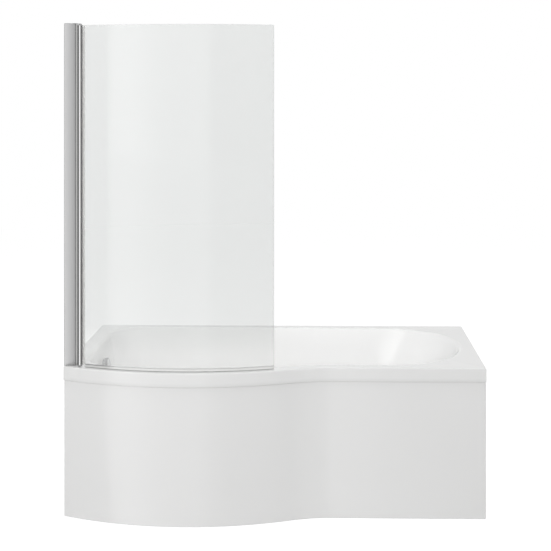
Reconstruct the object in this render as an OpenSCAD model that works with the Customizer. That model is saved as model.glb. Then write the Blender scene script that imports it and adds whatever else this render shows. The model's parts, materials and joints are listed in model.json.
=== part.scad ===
// Shower bath with a wide rounded end, a curved front panel and a hinged curved glass screen.
// X runs along the bath from the left wall, -Y is the front, +Z is up, z = 0 is the floor.

/* [Bath outline] */
// Overall length of the bath
bath_l = 1700; // [1600:10:1800]
// Width across the bow at the shower end
wide_w = 850; // [835:5:880]
// Width of the straight narrow end
narrow_w = 750; // [730:5:765]
// Height of the rim above the floor
rim_h = 607; // [595:1:640]
// Distance from the left end to the furthest point of the bow
bow_x = 495; // [470:5:520]
// Distance from the left end to the start of the straight front
sweep_x = 1080; // [1040:5:1120]

/* [Bath shell] */
// Thickness of the acrylic shell
shell_t = 5; // [4:0.5:6]
// Height of the turned-down edge of the rim
lip_h = 56; // [45:1:60]
// Rounding along the outside of the rim
lip_r = 5; // [3:0.5:8]
// Flat width of the rim along the back
rim_back = 48; // [44:1:56]
// Flat width of the rim along the front
rim_front = 53; // [50:1:60]
// Flat width of the rim at the shower end
rim_left = 75; // [70:1:85]
// Flat width of the rim at the head end
rim_right = 60; // [50:1:75]
// Height of the basin floor at the waste above the room's floor
floor_h = 207; // [203:1:220]
// Rounding between the rim and the basin wall
edge_r = 14; // [8:1:18]
// Rounding between the basin wall and its floor
floor_r = 60; // [45:1:70]
// How far the long walls lean in between the rim and the floor
side_slope = 65; // [50:1:75]
// How far the shower end wall leans in
foot_slope = 70; // [60:1:80]
// How far the head end wall leans in
head_slope = 230; // [180:5:250]
// Radius of the basin corners at the shower end
corner_r = 150; // [120:5:170]
// How much tighter those corners are at the floor
corner_drop = 30; // [10:5:40]
// Length of the rounded head end as a share of half its width
head_ratio = 0.97; // [0.85:0.01:1.05]
// Fall of the basin floor over one metre
floor_fall = 8; // [4:1:12]

/* [Base and feet] */
// Thickness of the board under the floor
board_t = 16; // [12:1:18]
// Width of the board under the floor
board_w = 380; // [320:5:390]
// Length of the board under the floor
board_l = 825; // [760:5:840]
// Distance from the left end to the first cross bar
bar_1_x = 450; // [420:5:500]
// Distance from the left end to the second cross bar
bar_2_x = 1140; // [1080:5:1160]
// Width of a cross bar
bar_w = 40; // [34:1:50]
// Height of a cross bar
bar_h = 22; // [18:1:26]
// Thickness of the cross bar steel
bar_t = 2; // [1.5:0.5:3]
// Radius of a foot's threaded stud
stud_r = 5; // [4:0.5:6]
// How far each foot screws out
foot_travel = 25; // [15:1:30]
// Radius of a foot's pad
pad_r = 20; // [16:1:24]
// Height of a foot's pad
pad_h = 12; // [9:1:16]
// Width across the flats of the foot nuts
nut_af = 17; // [15:1:19]
// Height of a foot nut
nut_h = 8; // [6:1:9]

/* [Front panel] */
// Thickness of the panel
panel_t = 3.5; // [3:0.5:5]
// Gap between the panel and the back of the rim's edge
panel_gap = 1; // [0.5:0.5:2]
// Gap between the panel and the floor
panel_floor_gap = 1; // [0.5:0.5:3]
// Width of the panel's folded top and bottom edges
panel_fold = 24; // [20:1:28]
// Height of the timber battens under the rim
batten_h = 18; // [14:1:22]
// Width of the timber battens under the rim
batten_w = 20; // [16:1:21]

/* [Waste and overflow] */
// Distance from the left end to the waste
waste_x = 255; // [245:1:270]
// Distance from the back edge to the waste and the overflow
waste_y = 390; // [370:1:410]
// Radius of the waste hole in the shell
waste_hole_r = 26; // [24:0.5:27]
// Radius of the waste's visible flange
flange_r = 35; // [32:0.5:38]
// Radius of the pop-up plug
plug_r = 29; // [27:0.5:30]
// How far the plug lifts
plug_lift = 9; // [6:0.5:11]
// Distance from the rim down to the overflow
overflow_drop = 93; // [80:1:100]
// Radius of the overflow hole in the shell
overflow_hole_r = 26; // [24:0.5:27]
// Radius of the overflow knob
knob_r = 35; // [31:0.5:37]
// Thickness of the overflow knob
knob_t = 14; // [9:0.5:15]
// Outer radius of the hose's plain ends
hose_r = 16; // [15:0.5:17]
// Depth of the hose's ribs
rib_d = 2; // [1:0.5:2.5]
// Number of ribs on the hose
rib_n = 56; // [30:1:90]
// Inner radius of the trap and waste pipework
pipe_r = 19; // [17:0.5:20]
// Wall thickness of the pipework
pipe_t = 2.5; // [2:0.5:3]
// Outer radius of the waste pipe that fits the trap's outlet
outlet_pipe_r = 20; // [19:0.5:21.5]

/* [Glass screen] */
// Height of the wall channel above the rim
channel_l = 1384; // [1200:1:1450]
// Thickness of the glass
glass_t = 6; // [5:1:8]
// Distance from the front edge of the rim to the face of the glass
glass_inset = 18; // [15:1:22]
// Distance from the left end to the free edge of the glass
glass_end_x = 850; // [780:5:880]
// Width of the wall channel along the bath
channel_w = 45; // [38:1:45]
// Depth of the wall channel from front to back
channel_d = 28; // [26:1:32]
// How far the channel's front rounds back towards the glass
crown_d = 3.4; // [2:0.2:4]
// Thickness of the aluminium walls
alu_t = 2; // [1.5:0.5:2.5]
// Distance from the left end to the hinge axis
hinge_x = 63; // [61:1:66]
// Radius of the hinge knuckle
knuckle_r = 5.5; // [5:0.1:5.8]
// Radius of the hinge pins
pin_r = 3; // [2.5:0.1:3.2]
// Width of the rail that holds the glass
rail_w = 17; // [15:1:19]
// Depth of the bottom seal's grip on the glass
seal_grip = 10; // [6:1:12]

/* [Hidden] */

// Smoothness of small round parts and of the long arcs
round_fn = 64;
arc_fn = 360;
// Amount by which cuts run past the faces they cut
past = 1;
// Clearance between parts that seat on each other
seat_gap = 0.2;
// Radial clearance of turning, sliding and threaded fits
run_gap = 0.05;

// Edges of the bath in plan
x_left = -bath_l / 2;
x_right = bath_l / 2;
y_back = wide_w / 2;
y_bow = -wide_w / 2;
y_front = y_back - narrow_w;

// The front is a bow and a counter-curve that meet on the line between their centres
bow_d = wide_w - narrow_w;
bow_r = (pow(bow_x, 2) + pow(bow_d, 2)) / (2 * bow_d);
both_r = (pow(sweep_x - bow_x, 2) + pow(bow_d, 2)) / (2 * bow_d);
sweep_r = both_r - bow_r;
bow_c = [x_left + bow_x, y_bow + bow_r];
sweep_c = [x_left + sweep_x, y_front - sweep_r];

// Number of points along each side of the shell's rings
n_back = 24;
n_right = 14;
n_front = 34;
n_left = 14;
n_ring = n_back + n_right + n_front + n_left;
// Number of steps in a strip along the front
strip_n = 90;

floor_z = floor_h;
under_z = floor_z - shell_t;
basin_depth = rim_h - floor_h;
waste_c = [x_left + waste_x, y_back - waste_y];
// Radius of the level ground round the waste, and where the floor starts to rise
level_r = flange_r + 7;
fall_x = waste_c.x + level_r;
fall_k = floor_fall / 1000;
fall_a = atan(fall_k);
// Thickness of the shower end wall, square to its face
wall_a = atan(foot_slope / basin_depth);
wall_t = shell_t * (cos(wall_a) + sin(wall_a));
// Share of the wall taken by its two roundings
edge_f = edge_r / basin_depth;
foot_f = 1 - 1.1 * floor_r / basin_depth;

// The shower end wall is flat, and the overflow stands square to it
overflow_h = rim_h - overflow_drop;
overflow_s = overflow_drop / basin_depth;
overflow_p = [x_left + rim_left + foot_slope * overflow_s, waste_c.y, overflow_h];

// Stack of the waste under the shell
gasket_t = 3;
body_top_t = 5;
body_r = flange_r - 6;
body_z = under_z - gasket_t;
spigot_z = body_z - 28;
thread_z = body_z - 56;
thread_l = 17;
thread_r = 23.9;
skirt_r = 22.5;
skirt_l = 12;
skirt_z = body_z - body_top_t - skirt_l;
drain_r = skirt_r - 2.5;
flange_t = 2.5;
flange_step = 1;
spider_z = body_z - 3;
spider_h = 7;
spider_t = 3;

// Plug and its stem, whose foot is level with the cable when the plug is fully up
plug_t = 3.8;
plug_edge = 1.2;
plug_z = floor_z + flange_step + 2.2;
cable_z = body_z - 36;
stem_r = 4;
stem_l = plug_z - cable_z + plug_lift;

// Trap below the waste, which leads to the back
pipe_out_r = pipe_r + pipe_t;
bend_r = 34;
trap_top_z = thread_z - thread_l - seat_gap;
bend_z = bend_r + pipe_out_r + 22;
outlet_y = waste_c.y + 3 * bend_r;
outlet_z = bend_z + bend_r + 20;
socket_l = 46;
outlet_bore_r = outlet_pipe_r + 0.5;
socket_r = outlet_bore_r + 3;
socket_y = outlet_y + 16;
outlet_nut_l = 22;
outlet_nut_y = outlet_y + socket_l - outlet_nut_l;
seal_l = 2.8;

// Overflow parts, measured from the face of the end wall into the basin
plate_t = 3;
knob_gap = 5;
knob_w0 = plate_t + knob_gap;
over_body_d = 36;
over_body_r = 25;
over_wall = 3;
sleeve_l = 10;
lever_gap = 11;
inlet_d = 12.5;
hose_bore_r = hose_r - 2;
hose_spigot_r = hose_bore_r - run_gap;
over_back = wall_t + gasket_t + over_body_d;
hose_x = overflow_p.x - (over_back - over_body_d / 2) * cos(wall_a);
hose_top_z = overflow_h - over_body_r - 22;
hose_bend_r = 82;
hose_grip = 18;
hose_end_x = waste_c.x - body_r - hose_grip - 3;
hose_nut_l = 20;
hose_big = 1 / cos(22.5);

// Centre line of the hose: down, round a quarter turn and along to the waste
hose_c = [hose_x + hose_bend_r, spigot_z + hose_bend_r];
hose_down = hose_top_z - hose_c[1];
hose_turn = PI / 2 * hose_bend_r;
hose_along = hose_end_x - hose_c[0] + hose_grip;
hose_len = hose_down + hose_turn + hose_along;
hose_plain = 2 * hose_r;

// The cable leaves the overflow body at a slant and enters the waste body from the side
cable_r = 2.5;
gland_t = 3;
gland_l = 38;
gland_slant = 50;
gland_a = 130;
body_mid = [hose_x, waste_c.y, overflow_h - (over_back - over_body_d / 2) * sin(wall_a)];
waste_mid = [waste_c.x, waste_c.y, cable_z];
top_dir = [0, sin(gland_slant), -cos(gland_slant)];
end_dir = [cos(gland_a), sin(gland_a), 0];
// Points of the way between: share of the run along the bath, distance behind the waste, share of the rise
cable_steps = [
    [0, 45, 0.81], [0, 47, 0.67], [0, 49, 0.53], [0.01, 53, 0.39], [0.05, 59, 0.26],
    [0.13, 65, 0.16], [0.25, 69, 0.08], [0.42, 69, 0.02], [0.59, 62, 0], [0.72, 49, 0]
];
cable_route = concat(
    [for (d = [gland_l - 12, gland_l, gland_l + 12]) body_mid + d * top_dir],
    [for (q = cable_steps)
        [mix(hose_x, waste_c.x, q[0]), waste_c.y + q[1], mix(cable_z, body_mid.z, q[2])]],
    [for (d = [gland_l + 10, gland_l, gland_l - 8]) waste_mid + d * end_dir]
);

// Base board and bars
board_x0 = waste_c.x + 120;
board_y = (y_back - rim_back + y_front + rim_front) / 2;
bar_xs = [x_left + bar_1_x, x_left + bar_2_x];
plate_x = (bar_xs[0] + bar_xs[1]) / 2;
plate_s = 80;
foot_out = 28;
bar_end = 22;
screw_r = 2.2;
screw_head_r = 4.2;
screw_head_h = 2.4;
screw_l = 12;
bar_screw_ys = [-board_w / 2 + 30, -50, 50, board_w / 2 - 30];
plate_screw_d = plate_s * 0.35;
centre_t = 3;
board_bottom = under_z - board_t;
centre_place = [plate_x, board_y, seat_z(plate_x, plate_s / 2)];
stud_slack = 4;
stud_top = nut_h + foot_travel + stud_slack;
centre_top = board_t - stud_slack;
stud_hole_r = stud_r + 0.5;

// Panel stations for the floor blocks and clips
panel_in = shell_t + panel_gap;
panel_side = 1.5;
panel_top = rim_h - shell_t - batten_h - 0.3;
lip_z = rim_h - lip_h;
block_xs = [for (f = [0.09, 0.34, 0.75, 0.93]) x_left + f * bath_l];
block_l = 90;
block_d = 38;
block_h = 44;
block_in = panel_in + panel_fold + 6;
clip_w = 30;
clip_t = 1.2;
clip_in = block_in - clip_t - seat_gap;
clip_in0 = panel_in + panel_t + 4;
clip_z = panel_floor_gap + panel_t + 0.3;
clip_screw_z = 28;

// Wall brackets at the back
bracket_xs = [x_left + bath_l / 4, x_right - bath_l / 4];
bracket_w = 40;
bracket_t = 2.5;
bracket_h = 66;
wall_hole_r = 3;
batten_y1 = y_back - shell_t - 1;
batten_z = rim_h - shell_t - batten_h;
batten_off = 4;
batten_short = [130, 170, 180];
end_batten_l = [380, 300];
riser_y = batten_y1 - batten_w - bracket_t - seat_gap;
bracket_screw_dx = 12;

// Screen: the hinge axis lies just inside the glass, and the glass follows the bow
channel_z = rim_h + seat_gap;
channel_top = channel_z + channel_l;
glass_out_r = bow_r - glass_inset;
glass_in_r = glass_out_r - glass_t;
hinge_in = 3;
hinge_rad = glass_in_r - hinge_in;
hinge_dx = x_left + hinge_x - bow_c.x;
hinge_c = [x_left + hinge_x, bow_c.y - sqrt(pow(hinge_rad, 2) - pow(hinge_dx, 2))];
rest_a = asin(hinge_dx / hinge_rad);
cap_t = 1.8;
pivot_t = 6;
glass_z0 = rim_h + 5;
rail_cap_t = 1.5;
rail_z0 = channel_z + pivot_t + rail_cap_t + 0.6;
rail_z1 = channel_top - cap_t - pivot_t - rail_cap_t - 0.6;
glass_top = rail_z1 - 0.1;
channel_y0 = hinge_c.y + 4;
post_gap = 0.2;
post_d = channel_d - 2 * alu_t - crown_d - 2 * post_gap;
post_y0 = channel_y0 + alu_t + crown_d + post_gap;
post_x0 = x_left + 14;
post_x1 = x_left + hinge_x - knuckle_r - 2.5;
post_lip = 3;
rail_in = 1;
rail_out = hinge_in + glass_t + 5;
rail_x0 = 2.5;
slot_x = 6;
gasket_side = 0.8;
gasket_show = 10;
glass_x0 = x_left + hinge_x + slot_x + 3;
glass_x1 = x_left + glass_end_x;
gasket_x1 = x_left + hinge_x + rail_w + gasket_show - 1;
pin_l = 20;
pivot_d = channel_d * 0.6;
adjust_dx = 28;
adjust_zs = [channel_z + 150, channel_z + channel_l / 2, channel_top - 150];
channel_hole_n = 4;
channel_hole_r = 2.6;
channel_hole_end = 100;

function mix(a, b, f) = a + (b - a) * f;
function bezier(a, b, c, f) = mix(mix(a, b, f), mix(b, c, f), f);

// Front edge of the bath at x, drawn in by t
function join_x(t) = bow_c.x + (sweep_c.x - bow_c.x) * (bow_r - t) / both_r;
function front_at(x, t) =
    x < join_x(t) ? bow_c.y - sqrt(pow(bow_r - t, 2) - pow(x - bow_c.x, 2))
    : x < sweep_c.x ? sweep_c.y + sqrt(pow(sweep_r + t, 2) - pow(x - sweep_c.x, 2))
    : y_front + t;
// Direction of the front edge at x
function front_a(x) =
    x < join_x(0) ? asin((x - bow_c.x) / bow_r)
    : x < sweep_c.x ? asin((sweep_c.x - x) / sweep_r)
    : 0;

// Height of the basin floor at x
function floor_at(x) = floor_z + fall_k * max(0, x - fall_x);

// One ring round the outside, drawn in by t
function outer_ring(t, z) = [
    for (k = [0 : n_back - 1]) [mix(x_left + t, x_right - t, k / n_back), y_back - t, z],
    for (k = [0 : n_right - 1]) [x_right - t, mix(y_back - t, y_front + t, k / n_right), z],
    for (k = [0 : n_front - 1])
        let (x = mix(x_right - t, x_left + t, k / n_front)) [x, front_at(x, t), z],
    for (k = [0 : n_left - 1])
        [x_left + t, mix(front_at(x_left + t, t), y_back - t, k / n_left), z]
];

// One ring of the basin in plan: s is 0 at the rim and 1 at the foot of the wall, d draws it in
function basin_ring(s, d) =
    let (
        y1 = y_back - rim_back - s * side_slope - d,
        front_in = rim_front + s * side_slope + d,
        y0 = y_front + front_in,
        x0 = x_left + rim_left + s * foot_slope + d,
        half = (y1 - y0) / 2,
        mid = (y1 + y0) / 2,
        long = half * head_ratio,
        xc = x_right - rim_right - s * head_slope - d - long,
        rc = corner_r - s * corner_drop - d / 2,
        xa = x0 + rc * (1 - cos(45)),
        xb = xc + long * cos(45),
        back_y = function (x)
            x > xc ? mid + half * sqrt(1 - pow((x - xc) / long, 2))
            : x < x0 + rc ? y1 - rc + sqrt(rc * rc - pow(x0 + rc - x, 2))
            : y1,
        front_y = function (x)
            x > xc ? mid - half * sqrt(1 - pow((x - xc) / long, 2))
            : x < x0 + rc ? front_at(x, front_in) + rc - sqrt(rc * rc - pow(x0 + rc - x, 2))
            : front_at(x, front_in),
        ya = front_y(xa),
        yb = back_y(xa),
        left_x = function (y)
            y < ya + rc * sin(45) ? x0 + rc - sqrt(rc * rc - pow(ya + rc * sin(45) - y, 2))
            : y > y1 - rc ? x0 + rc - sqrt(rc * rc - pow(y - y1 + rc, 2))
            : x0
    ) [
        for (k = [0 : n_back - 1]) let (x = mix(xa, xb, k / n_back)) [x, back_y(x)],
        for (k = [0 : n_right - 1])
            let (a = mix(45, -45, k / n_right)) [xc + long * cos(a), mid + half * sin(a)],
        for (k = [0 : n_front - 1]) let (x = mix(xb, xa, k / n_front)) [x, front_y(x)],
        for (k = [0 : n_left - 1]) let (y = mix(ya, yb, k / n_left)) [left_x(y), y]
    ];

// Rings of one face of the basin, from the waste up to the rim: t is 0 inside and the wall outside
function basin_face(t) =
    let (
        rim = [for (p = basin_ring(0, -t)) [p.x, p.y, rim_h - t]],
        foot = [for (p = basin_ring(1, -t)) [p.x, p.y, floor_at(p.x) - t]],
        flat_top = [for (p = basin_ring(0, -t - edge_r)) [p.x, p.y, rim_h - t]],
        flat_low = [for (p = basin_ring(1, floor_r - t)) [p.x, p.y, floor_at(p.x) - t]],
        away = [for (p = flat_low) let (v = [p.x, p.y] - waste_c) v / norm(v)],
        round_ring = function (r) [for (v = away) [waste_c.x + r * v.x, waste_c.y + r * v.y, floor_z - t]],
        ground = round_ring(level_r)
    ) concat(
        [round_ring(waste_hole_r - 6), ground],
        [for (f = [0.3, 0.65]) [for (i = [0 : n_ring - 1])
            let (q = mix(ground[i], flat_low[i], f)) [q.x, q.y, floor_at(q.x) - t]]],
        [for (f = [0 : 0.25 : 1]) [for (i = [0 : n_ring - 1])
            bezier(flat_low[i], foot[i], mix(rim[i], foot[i], foot_f), f)]],
        [for (f = [0.25 : 0.25 : 0.75]) [for (i = [0 : n_ring - 1])
            mix(rim[i], foot[i], mix(foot_f, edge_f, f))]],
        [for (f = [0 : 0.25 : 1]) [for (i = [0 : n_ring - 1])
            bezier(mix(rim[i], foot[i], edge_f), rim[i], flat_top[i], f)]]
    );

// Rings over the rim, down its edge and back under it
function rim_rings() = concat(
    [for (f = [0 : 0.25 : 1])
        let (q = bezier([lip_r, rim_h], [0, rim_h], [0, rim_h - lip_r], f)) outer_ring(q[0], q[1])],
    [outer_ring(0, lip_z), outer_ring(shell_t, lip_z), outer_ring(shell_t, rim_h - shell_t)]
);

function reversed(list) = [for (i = [len(list) - 1 : -1 : 0]) list[i]];

// Closed surface through a list of rings; the last ring joins the first one
module loft_loop(rings) {
    n = len(rings[0]);
    m = len(rings);
    points = [for (r = rings) each r];
    faces = [for (j = [0 : m - 1]) for (i = [0 : n - 1])
        let (
            a = j * n + i,
            b = j * n + (i + 1) % n,
            c = ((j + 1) % m) * n + (i + 1) % n,
            d = ((j + 1) % m) * n + i
        ) each [[a, c, b], [a, d, c]]];
    polyhedron(points = points, faces = faces, convexity = 6);
}

// Surface through a list of rings with both ends closed
module loft_tube(rings) {
    n = len(rings[0]);
    m = len(rings);
    points = [for (r = rings) each r];
    sides = [for (j = [0 : m - 2]) for (i = [0 : n - 1])
        let (a = j * n + i, b = j * n + (i + 1) % n) each [[a, b, b + n], [a, b + n, a + n]]];
    first = [for (i = [n - 1 : -1 : 0]) i];
    last = [for (i = [0 : n - 1]) (m - 1) * n + i];
    polyhedron(points = points, faces = concat(sides, [first, last]), convexity = 6);
}

// Plan of a strip along the front edge between two distances in from it
module front_strip(in0, in1, x0, x1) {
    xs = [for (k = [0 : strip_n]) mix(x0, x1, k / strip_n)];
    polygon(concat(
        [for (x = xs) [x, front_at(x, in0)]],
        reversed([for (x = xs) [x, front_at(x, in1)]])
    ));
}

// Ring sector on the bow between two x positions
module bow_sector(r0, r1, z0, z1, x0, x1) {
    mid_r = (r0 + r1) / 2;
    a0 = -90 + asin((x0 - bow_c.x) / mid_r);
    a1 = -90 + asin((x1 - bow_c.x) / mid_r);
    translate([bow_c.x, bow_c.y, z0])
        rotate([0, 0, a0])
            rotate_extrude(angle = a1 - a0, $fn = arc_fn)
                translate([r0, 0])
                    square([r1 - r0, z1 - z0]);
}

// Frame of the front edge at x: local +Y points in from the panel
module at_front(x) {
    translate([x, front_at(x, 0), 0])
        rotate([0, 0, front_a(x)])
            children();
}

// Frame of the overflow: local +Z points out of the end wall into the basin
module at_overflow() {
    translate(overflow_p)
        rotate([0, 90 - wall_a, 0])
            children();
}

// Frame of the screen at rest: local +X runs along the glass, local -Y faces the front
module at_hinge() {
    translate([hinge_c.x, hinge_c.y, 0])
        rotate([0, 0, rest_a])
            children();
}

module hex_nut(af, h, bore_r) {
    difference() {
        cylinder(h = h, r = af / 2 / cos(30), $fn = 6);
        translate([0, 0, -past])
            cylinder(h = h + 2 * past, r = bore_r, $fn = round_fn);
    }
}

module tube(h, r_out, r_in) {
    difference() {
        cylinder(h = h, r = r_out, $fn = round_fn);
        translate([0, 0, -past])
            cylinder(h = h + 2 * past, r = r_in, $fn = round_fn);
    }
}

// Pan-head screw with its head at z = 0 and its point up
module pan_screw(len) {
    translate([0, 0, -screw_head_h])
        cylinder(h = screw_head_h, r = screw_head_r, $fn = round_fn);
    translate([0, 0, -past / 2])
        cylinder(h = len + past / 2, r = screw_r, $fn = round_fn);
}

module bath_shell() {
    color("white")
        difference() {
            loft_loop(concat(basin_face(0), rim_rings(), reversed(basin_face(shell_t))));
            translate([waste_c.x, waste_c.y, under_z - past])
                cylinder(h = shell_t + 2 * past, r = waste_hole_r, $fn = round_fn);
            at_overflow()
                translate([0, 0, -2 * shell_t])
                    cylinder(h = 4 * shell_t, r = overflow_hole_r, $fn = round_fn);
        }
}

// The board lies on the slope of the floor's underside
module on_slope() {
    translate([fall_x, board_y, under_z])
        rotate([0, -fall_a, 0])
            children();
}

// Height at which a level plate of this half width touches the sloping board from below
function seat_z(x, half) = board_bottom + fall_k * (x - half - fall_x) - 0.1;
function bar_top(x) = seat_z(x, bar_w / 2);
function bar_ys(x) = [
    y_back - rim_back - side_slope + foot_out,
    front_at(x, rim_front + side_slope) - foot_out
];

// Places of the four screws of the centre plate, at this height from its top face
module at_plate_screws(z) {
    for (sx = [-1, 1])
        for (sy = [-1, 1])
            translate(centre_place + [sx * plate_screw_d, sy * plate_screw_d, z])
                children();
}

module base_board() {
    color("burlywood")
        difference() {
            on_slope()
                translate([board_x0 - fall_x, -board_w / 2, -board_t])
                    cube([board_l, board_w, board_t - seat_gap]);
            for (x = bar_xs)
                for (y = bar_screw_ys)
                    translate([x, board_y + y, bar_top(x) - past])
                        cylinder(h = screw_l + past, r = screw_r + run_gap, $fn = round_fn);
            at_plate_screws(-past)
                cylinder(h = screw_l + past, r = screw_r + run_gap, $fn = round_fn);
            translate(centre_place - [0, 0, past])
                cylinder(h = 2 * board_t, r = stud_r + 3, $fn = round_fn);
        }
}

// Places of the screws that hold the wall brackets to the back batten
module at_bracket_screws() {
    for (x = bracket_xs)
        for (sx = [-1, 1])
            translate([x + sx * bracket_screw_dx, riser_y, batten_z + batten_h / 2])
                rotate([-90, 0, 0])
                    children();
}

module back_batten() {
    color("tan")
        difference() {
            translate([x_left + batten_short[1], batten_y1 - batten_w, batten_z])
                cube([bath_l - 2 * batten_short[1], batten_w, batten_h - seat_gap]);
            at_bracket_screws()
                cylinder(h = screw_l + past, r = screw_r + run_gap, $fn = round_fn);
        }
}

module front_batten() {
    in0 = shell_t + batten_off;
    color("tan")
        translate([0, 0, batten_z])
            linear_extrude(batten_h - seat_gap)
                front_strip(in0, in0 + batten_w, x_left + batten_short[0], x_right - batten_short[2]);
}

module end_battens() {
    color("tan") {
        translate([x_left + shell_t + batten_off, board_y - end_batten_l[0] / 2, batten_z])
            cube([batten_w + 8, end_batten_l[0], batten_h - seat_gap]);
        translate([x_right - shell_t - batten_off - batten_w, board_y - end_batten_l[1] / 2, batten_z])
            cube([batten_w, end_batten_l[1], batten_h - seat_gap]);
    }
}

module cross_bars() {
    color("lightslategray")
        for (x = bar_xs) {
            ys = bar_ys(x);
            len = ys[0] - ys[1] + 2 * bar_end;
            difference() {
                translate([x - bar_w / 2, ys[1] - bar_end, bar_top(x) - bar_h])
                    difference() {
                        cube([bar_w, len, bar_h]);
                        translate([bar_t, -past, -past])
                            cube([bar_w - 2 * bar_t, len + 2 * past, bar_h - bar_t + past]);
                    }
                for (y = ys)
                    translate([x, y, bar_top(x) - bar_t - past])
                        cylinder(h = bar_t + 2 * past, r = stud_hole_r, $fn = round_fn);
                for (y = bar_screw_ys)
                    translate([x, board_y + y, bar_top(x) - bar_t - past])
                        cylinder(h = bar_t + 2 * past, r = screw_r + run_gap, $fn = round_fn);
            }
        }
}

module bar_screws() {
    color("silver")
        for (x = bar_xs)
            for (y = bar_screw_ys)
                translate([x, board_y + y, bar_top(x) - bar_t])
                    pan_screw(screw_l + bar_t - past);
}

// Places of the four bar feet: x, y and the top face of the bar
function foot_place(bar, end) = [bar_xs[bar], bar_ys(bar_xs[bar])[end], bar_top(bar_xs[bar])];

module foot_nuts() {
    color("gainsboro") {
        for (bar = [0, 1])
            for (end = [0, 1])
                translate(foot_place(bar, end)) {
                    hex_nut(nut_af, nut_h, stud_r + run_gap);
                    translate([0, 0, -bar_t - nut_h])
                        hex_nut(nut_af, nut_h, stud_r + run_gap);
                }
        translate(centre_place + [0, 0, -centre_t - nut_h])
            hex_nut(nut_af, nut_h, stud_r + run_gap);
    }
}

module centre_plate() {
    color("lightslategray")
        difference() {
            translate(centre_place + [-plate_s / 2, -plate_s / 2, -centre_t])
                cube([plate_s, plate_s, centre_t]);
            translate(centre_place + [0, 0, -centre_t - past])
                cylinder(h = centre_t + 2 * past, r = stud_hole_r, $fn = round_fn);
            at_plate_screws(-centre_t - past)
                cylinder(h = centre_t + 2 * past, r = screw_r + run_gap, $fn = round_fn);
        }
}

module plate_screws() {
    color("silver")
        at_plate_screws(-centre_t)
            pan_screw(screw_l + centre_t - past);
}

// Stud of a foot: it stands in the pad and runs up through its nuts
module stud(place, top) {
    color("silver")
        translate([place.x, place.y, pad_h / 2])
            cylinder(h = place.z + top - pad_h / 2, r = stud_r, $fn = round_fn);
}

module pad(place) {
    color("dimgray")
        translate([place.x, place.y, 0])
            difference() {
                union() {
                    cylinder(h = pad_h / 2, r = pad_r, $fn = round_fn);
                    translate([0, 0, pad_h / 2])
                        cylinder(h = pad_h / 2, r1 = pad_r, r2 = pad_r * 0.6, $fn = round_fn);
                }
                translate([0, 0, pad_h / 2])
                    cylinder(h = pad_h, r = stud_r, $fn = round_fn);
            }
}

module wall_brackets() {
    arm_z = lip_z - 1 - bracket_t;
    top_z = rim_h - shell_t - 3;
    color("silver")
        for (x = bracket_xs)
            difference() {
                union() {
                    translate([x - bracket_w / 2, y_back - bracket_t, arm_z - bracket_h])
                        cube([bracket_w, bracket_t, bracket_h + bracket_t]);
                    translate([x - bracket_w / 2, riser_y, arm_z])
                        cube([bracket_w, y_back - riser_y, bracket_t]);
                    translate([x - bracket_w / 2, riser_y, arm_z])
                        cube([bracket_w, bracket_t, top_z - arm_z]);
                }
                translate([x, y_back + past, arm_z - bracket_h / 2])
                    rotate([90, 0, 0])
                        cylinder(h = bracket_t + 2 * past, r = wall_hole_r, $fn = round_fn);
                at_bracket_screws()
                    translate([0, 0, -past])
                        cylinder(h = bracket_t + 2 * past, r = screw_r + run_gap, $fn = round_fn);
            }
}

module bracket_screws() {
    color("gainsboro")
        at_bracket_screws()
            pan_screw(screw_l);
}

module front_panel() {
    x0 = x_left + panel_side;
    x1 = x_right - panel_side;
    color("white")
        difference() {
            union() {
                translate([0, 0, panel_floor_gap])
                    linear_extrude(panel_top - panel_floor_gap)
                        front_strip(panel_in, panel_in + panel_t, x0, x1);
                for (z = [panel_floor_gap, panel_top - panel_t])
                    translate([0, 0, z])
                        linear_extrude(panel_t)
                            front_strip(panel_in, panel_in + panel_fold, x0, x1);
            }
            for (x = [x_left - past, x_right - panel_in])
                translate([x, y_bow - past, lip_z - 1])
                    cube([panel_in + past, wide_w, lip_h + past]);
        }
}

module floor_blocks() {
    color("tan")
        for (x = block_xs)
            at_front(x)
                difference() {
                    translate([-block_l / 2, block_in, 0])
                        cube([block_l, block_d, block_h]);
                    translate([0, clip_in, clip_screw_z])
                        rotate([-90, 0, 0])
                            cylinder(h = screw_l + past, r = screw_r + run_gap, $fn = round_fn);
                }
}

module panel_clips() {
    color("silver")
        for (x = block_xs)
            at_front(x)
                difference() {
                    union() {
                        translate([-clip_w / 2, clip_in, clip_z])
                            cube([clip_w, clip_t, block_h - clip_z]);
                        translate([-clip_w / 2, clip_in0, clip_z])
                            cube([clip_w, clip_in + clip_t - clip_in0, clip_t]);
                    }
                    translate([0, clip_in - past, clip_screw_z])
                        rotate([-90, 0, 0])
                            cylinder(h = clip_t + 2 * past, r = screw_r + run_gap, $fn = round_fn);
                }
}

module clip_screws() {
    color("gainsboro")
        for (x = block_xs)
            at_front(x)
                translate([0, clip_in, clip_screw_z])
                    rotate([-90, 0, 0])
                        pan_screw(screw_l);
}

// Three arms and a hub that guide the plug's stem inside the flange
module spider() {
    cylinder(h = spider_h, r = stem_r + spider_t, $fn = round_fn);
    for (a = [0, 120, 240])
        rotate([0, 0, a])
            translate([0, -spider_t / 2, 0])
                cube([skirt_r, spider_t, spider_h]);
}

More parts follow.
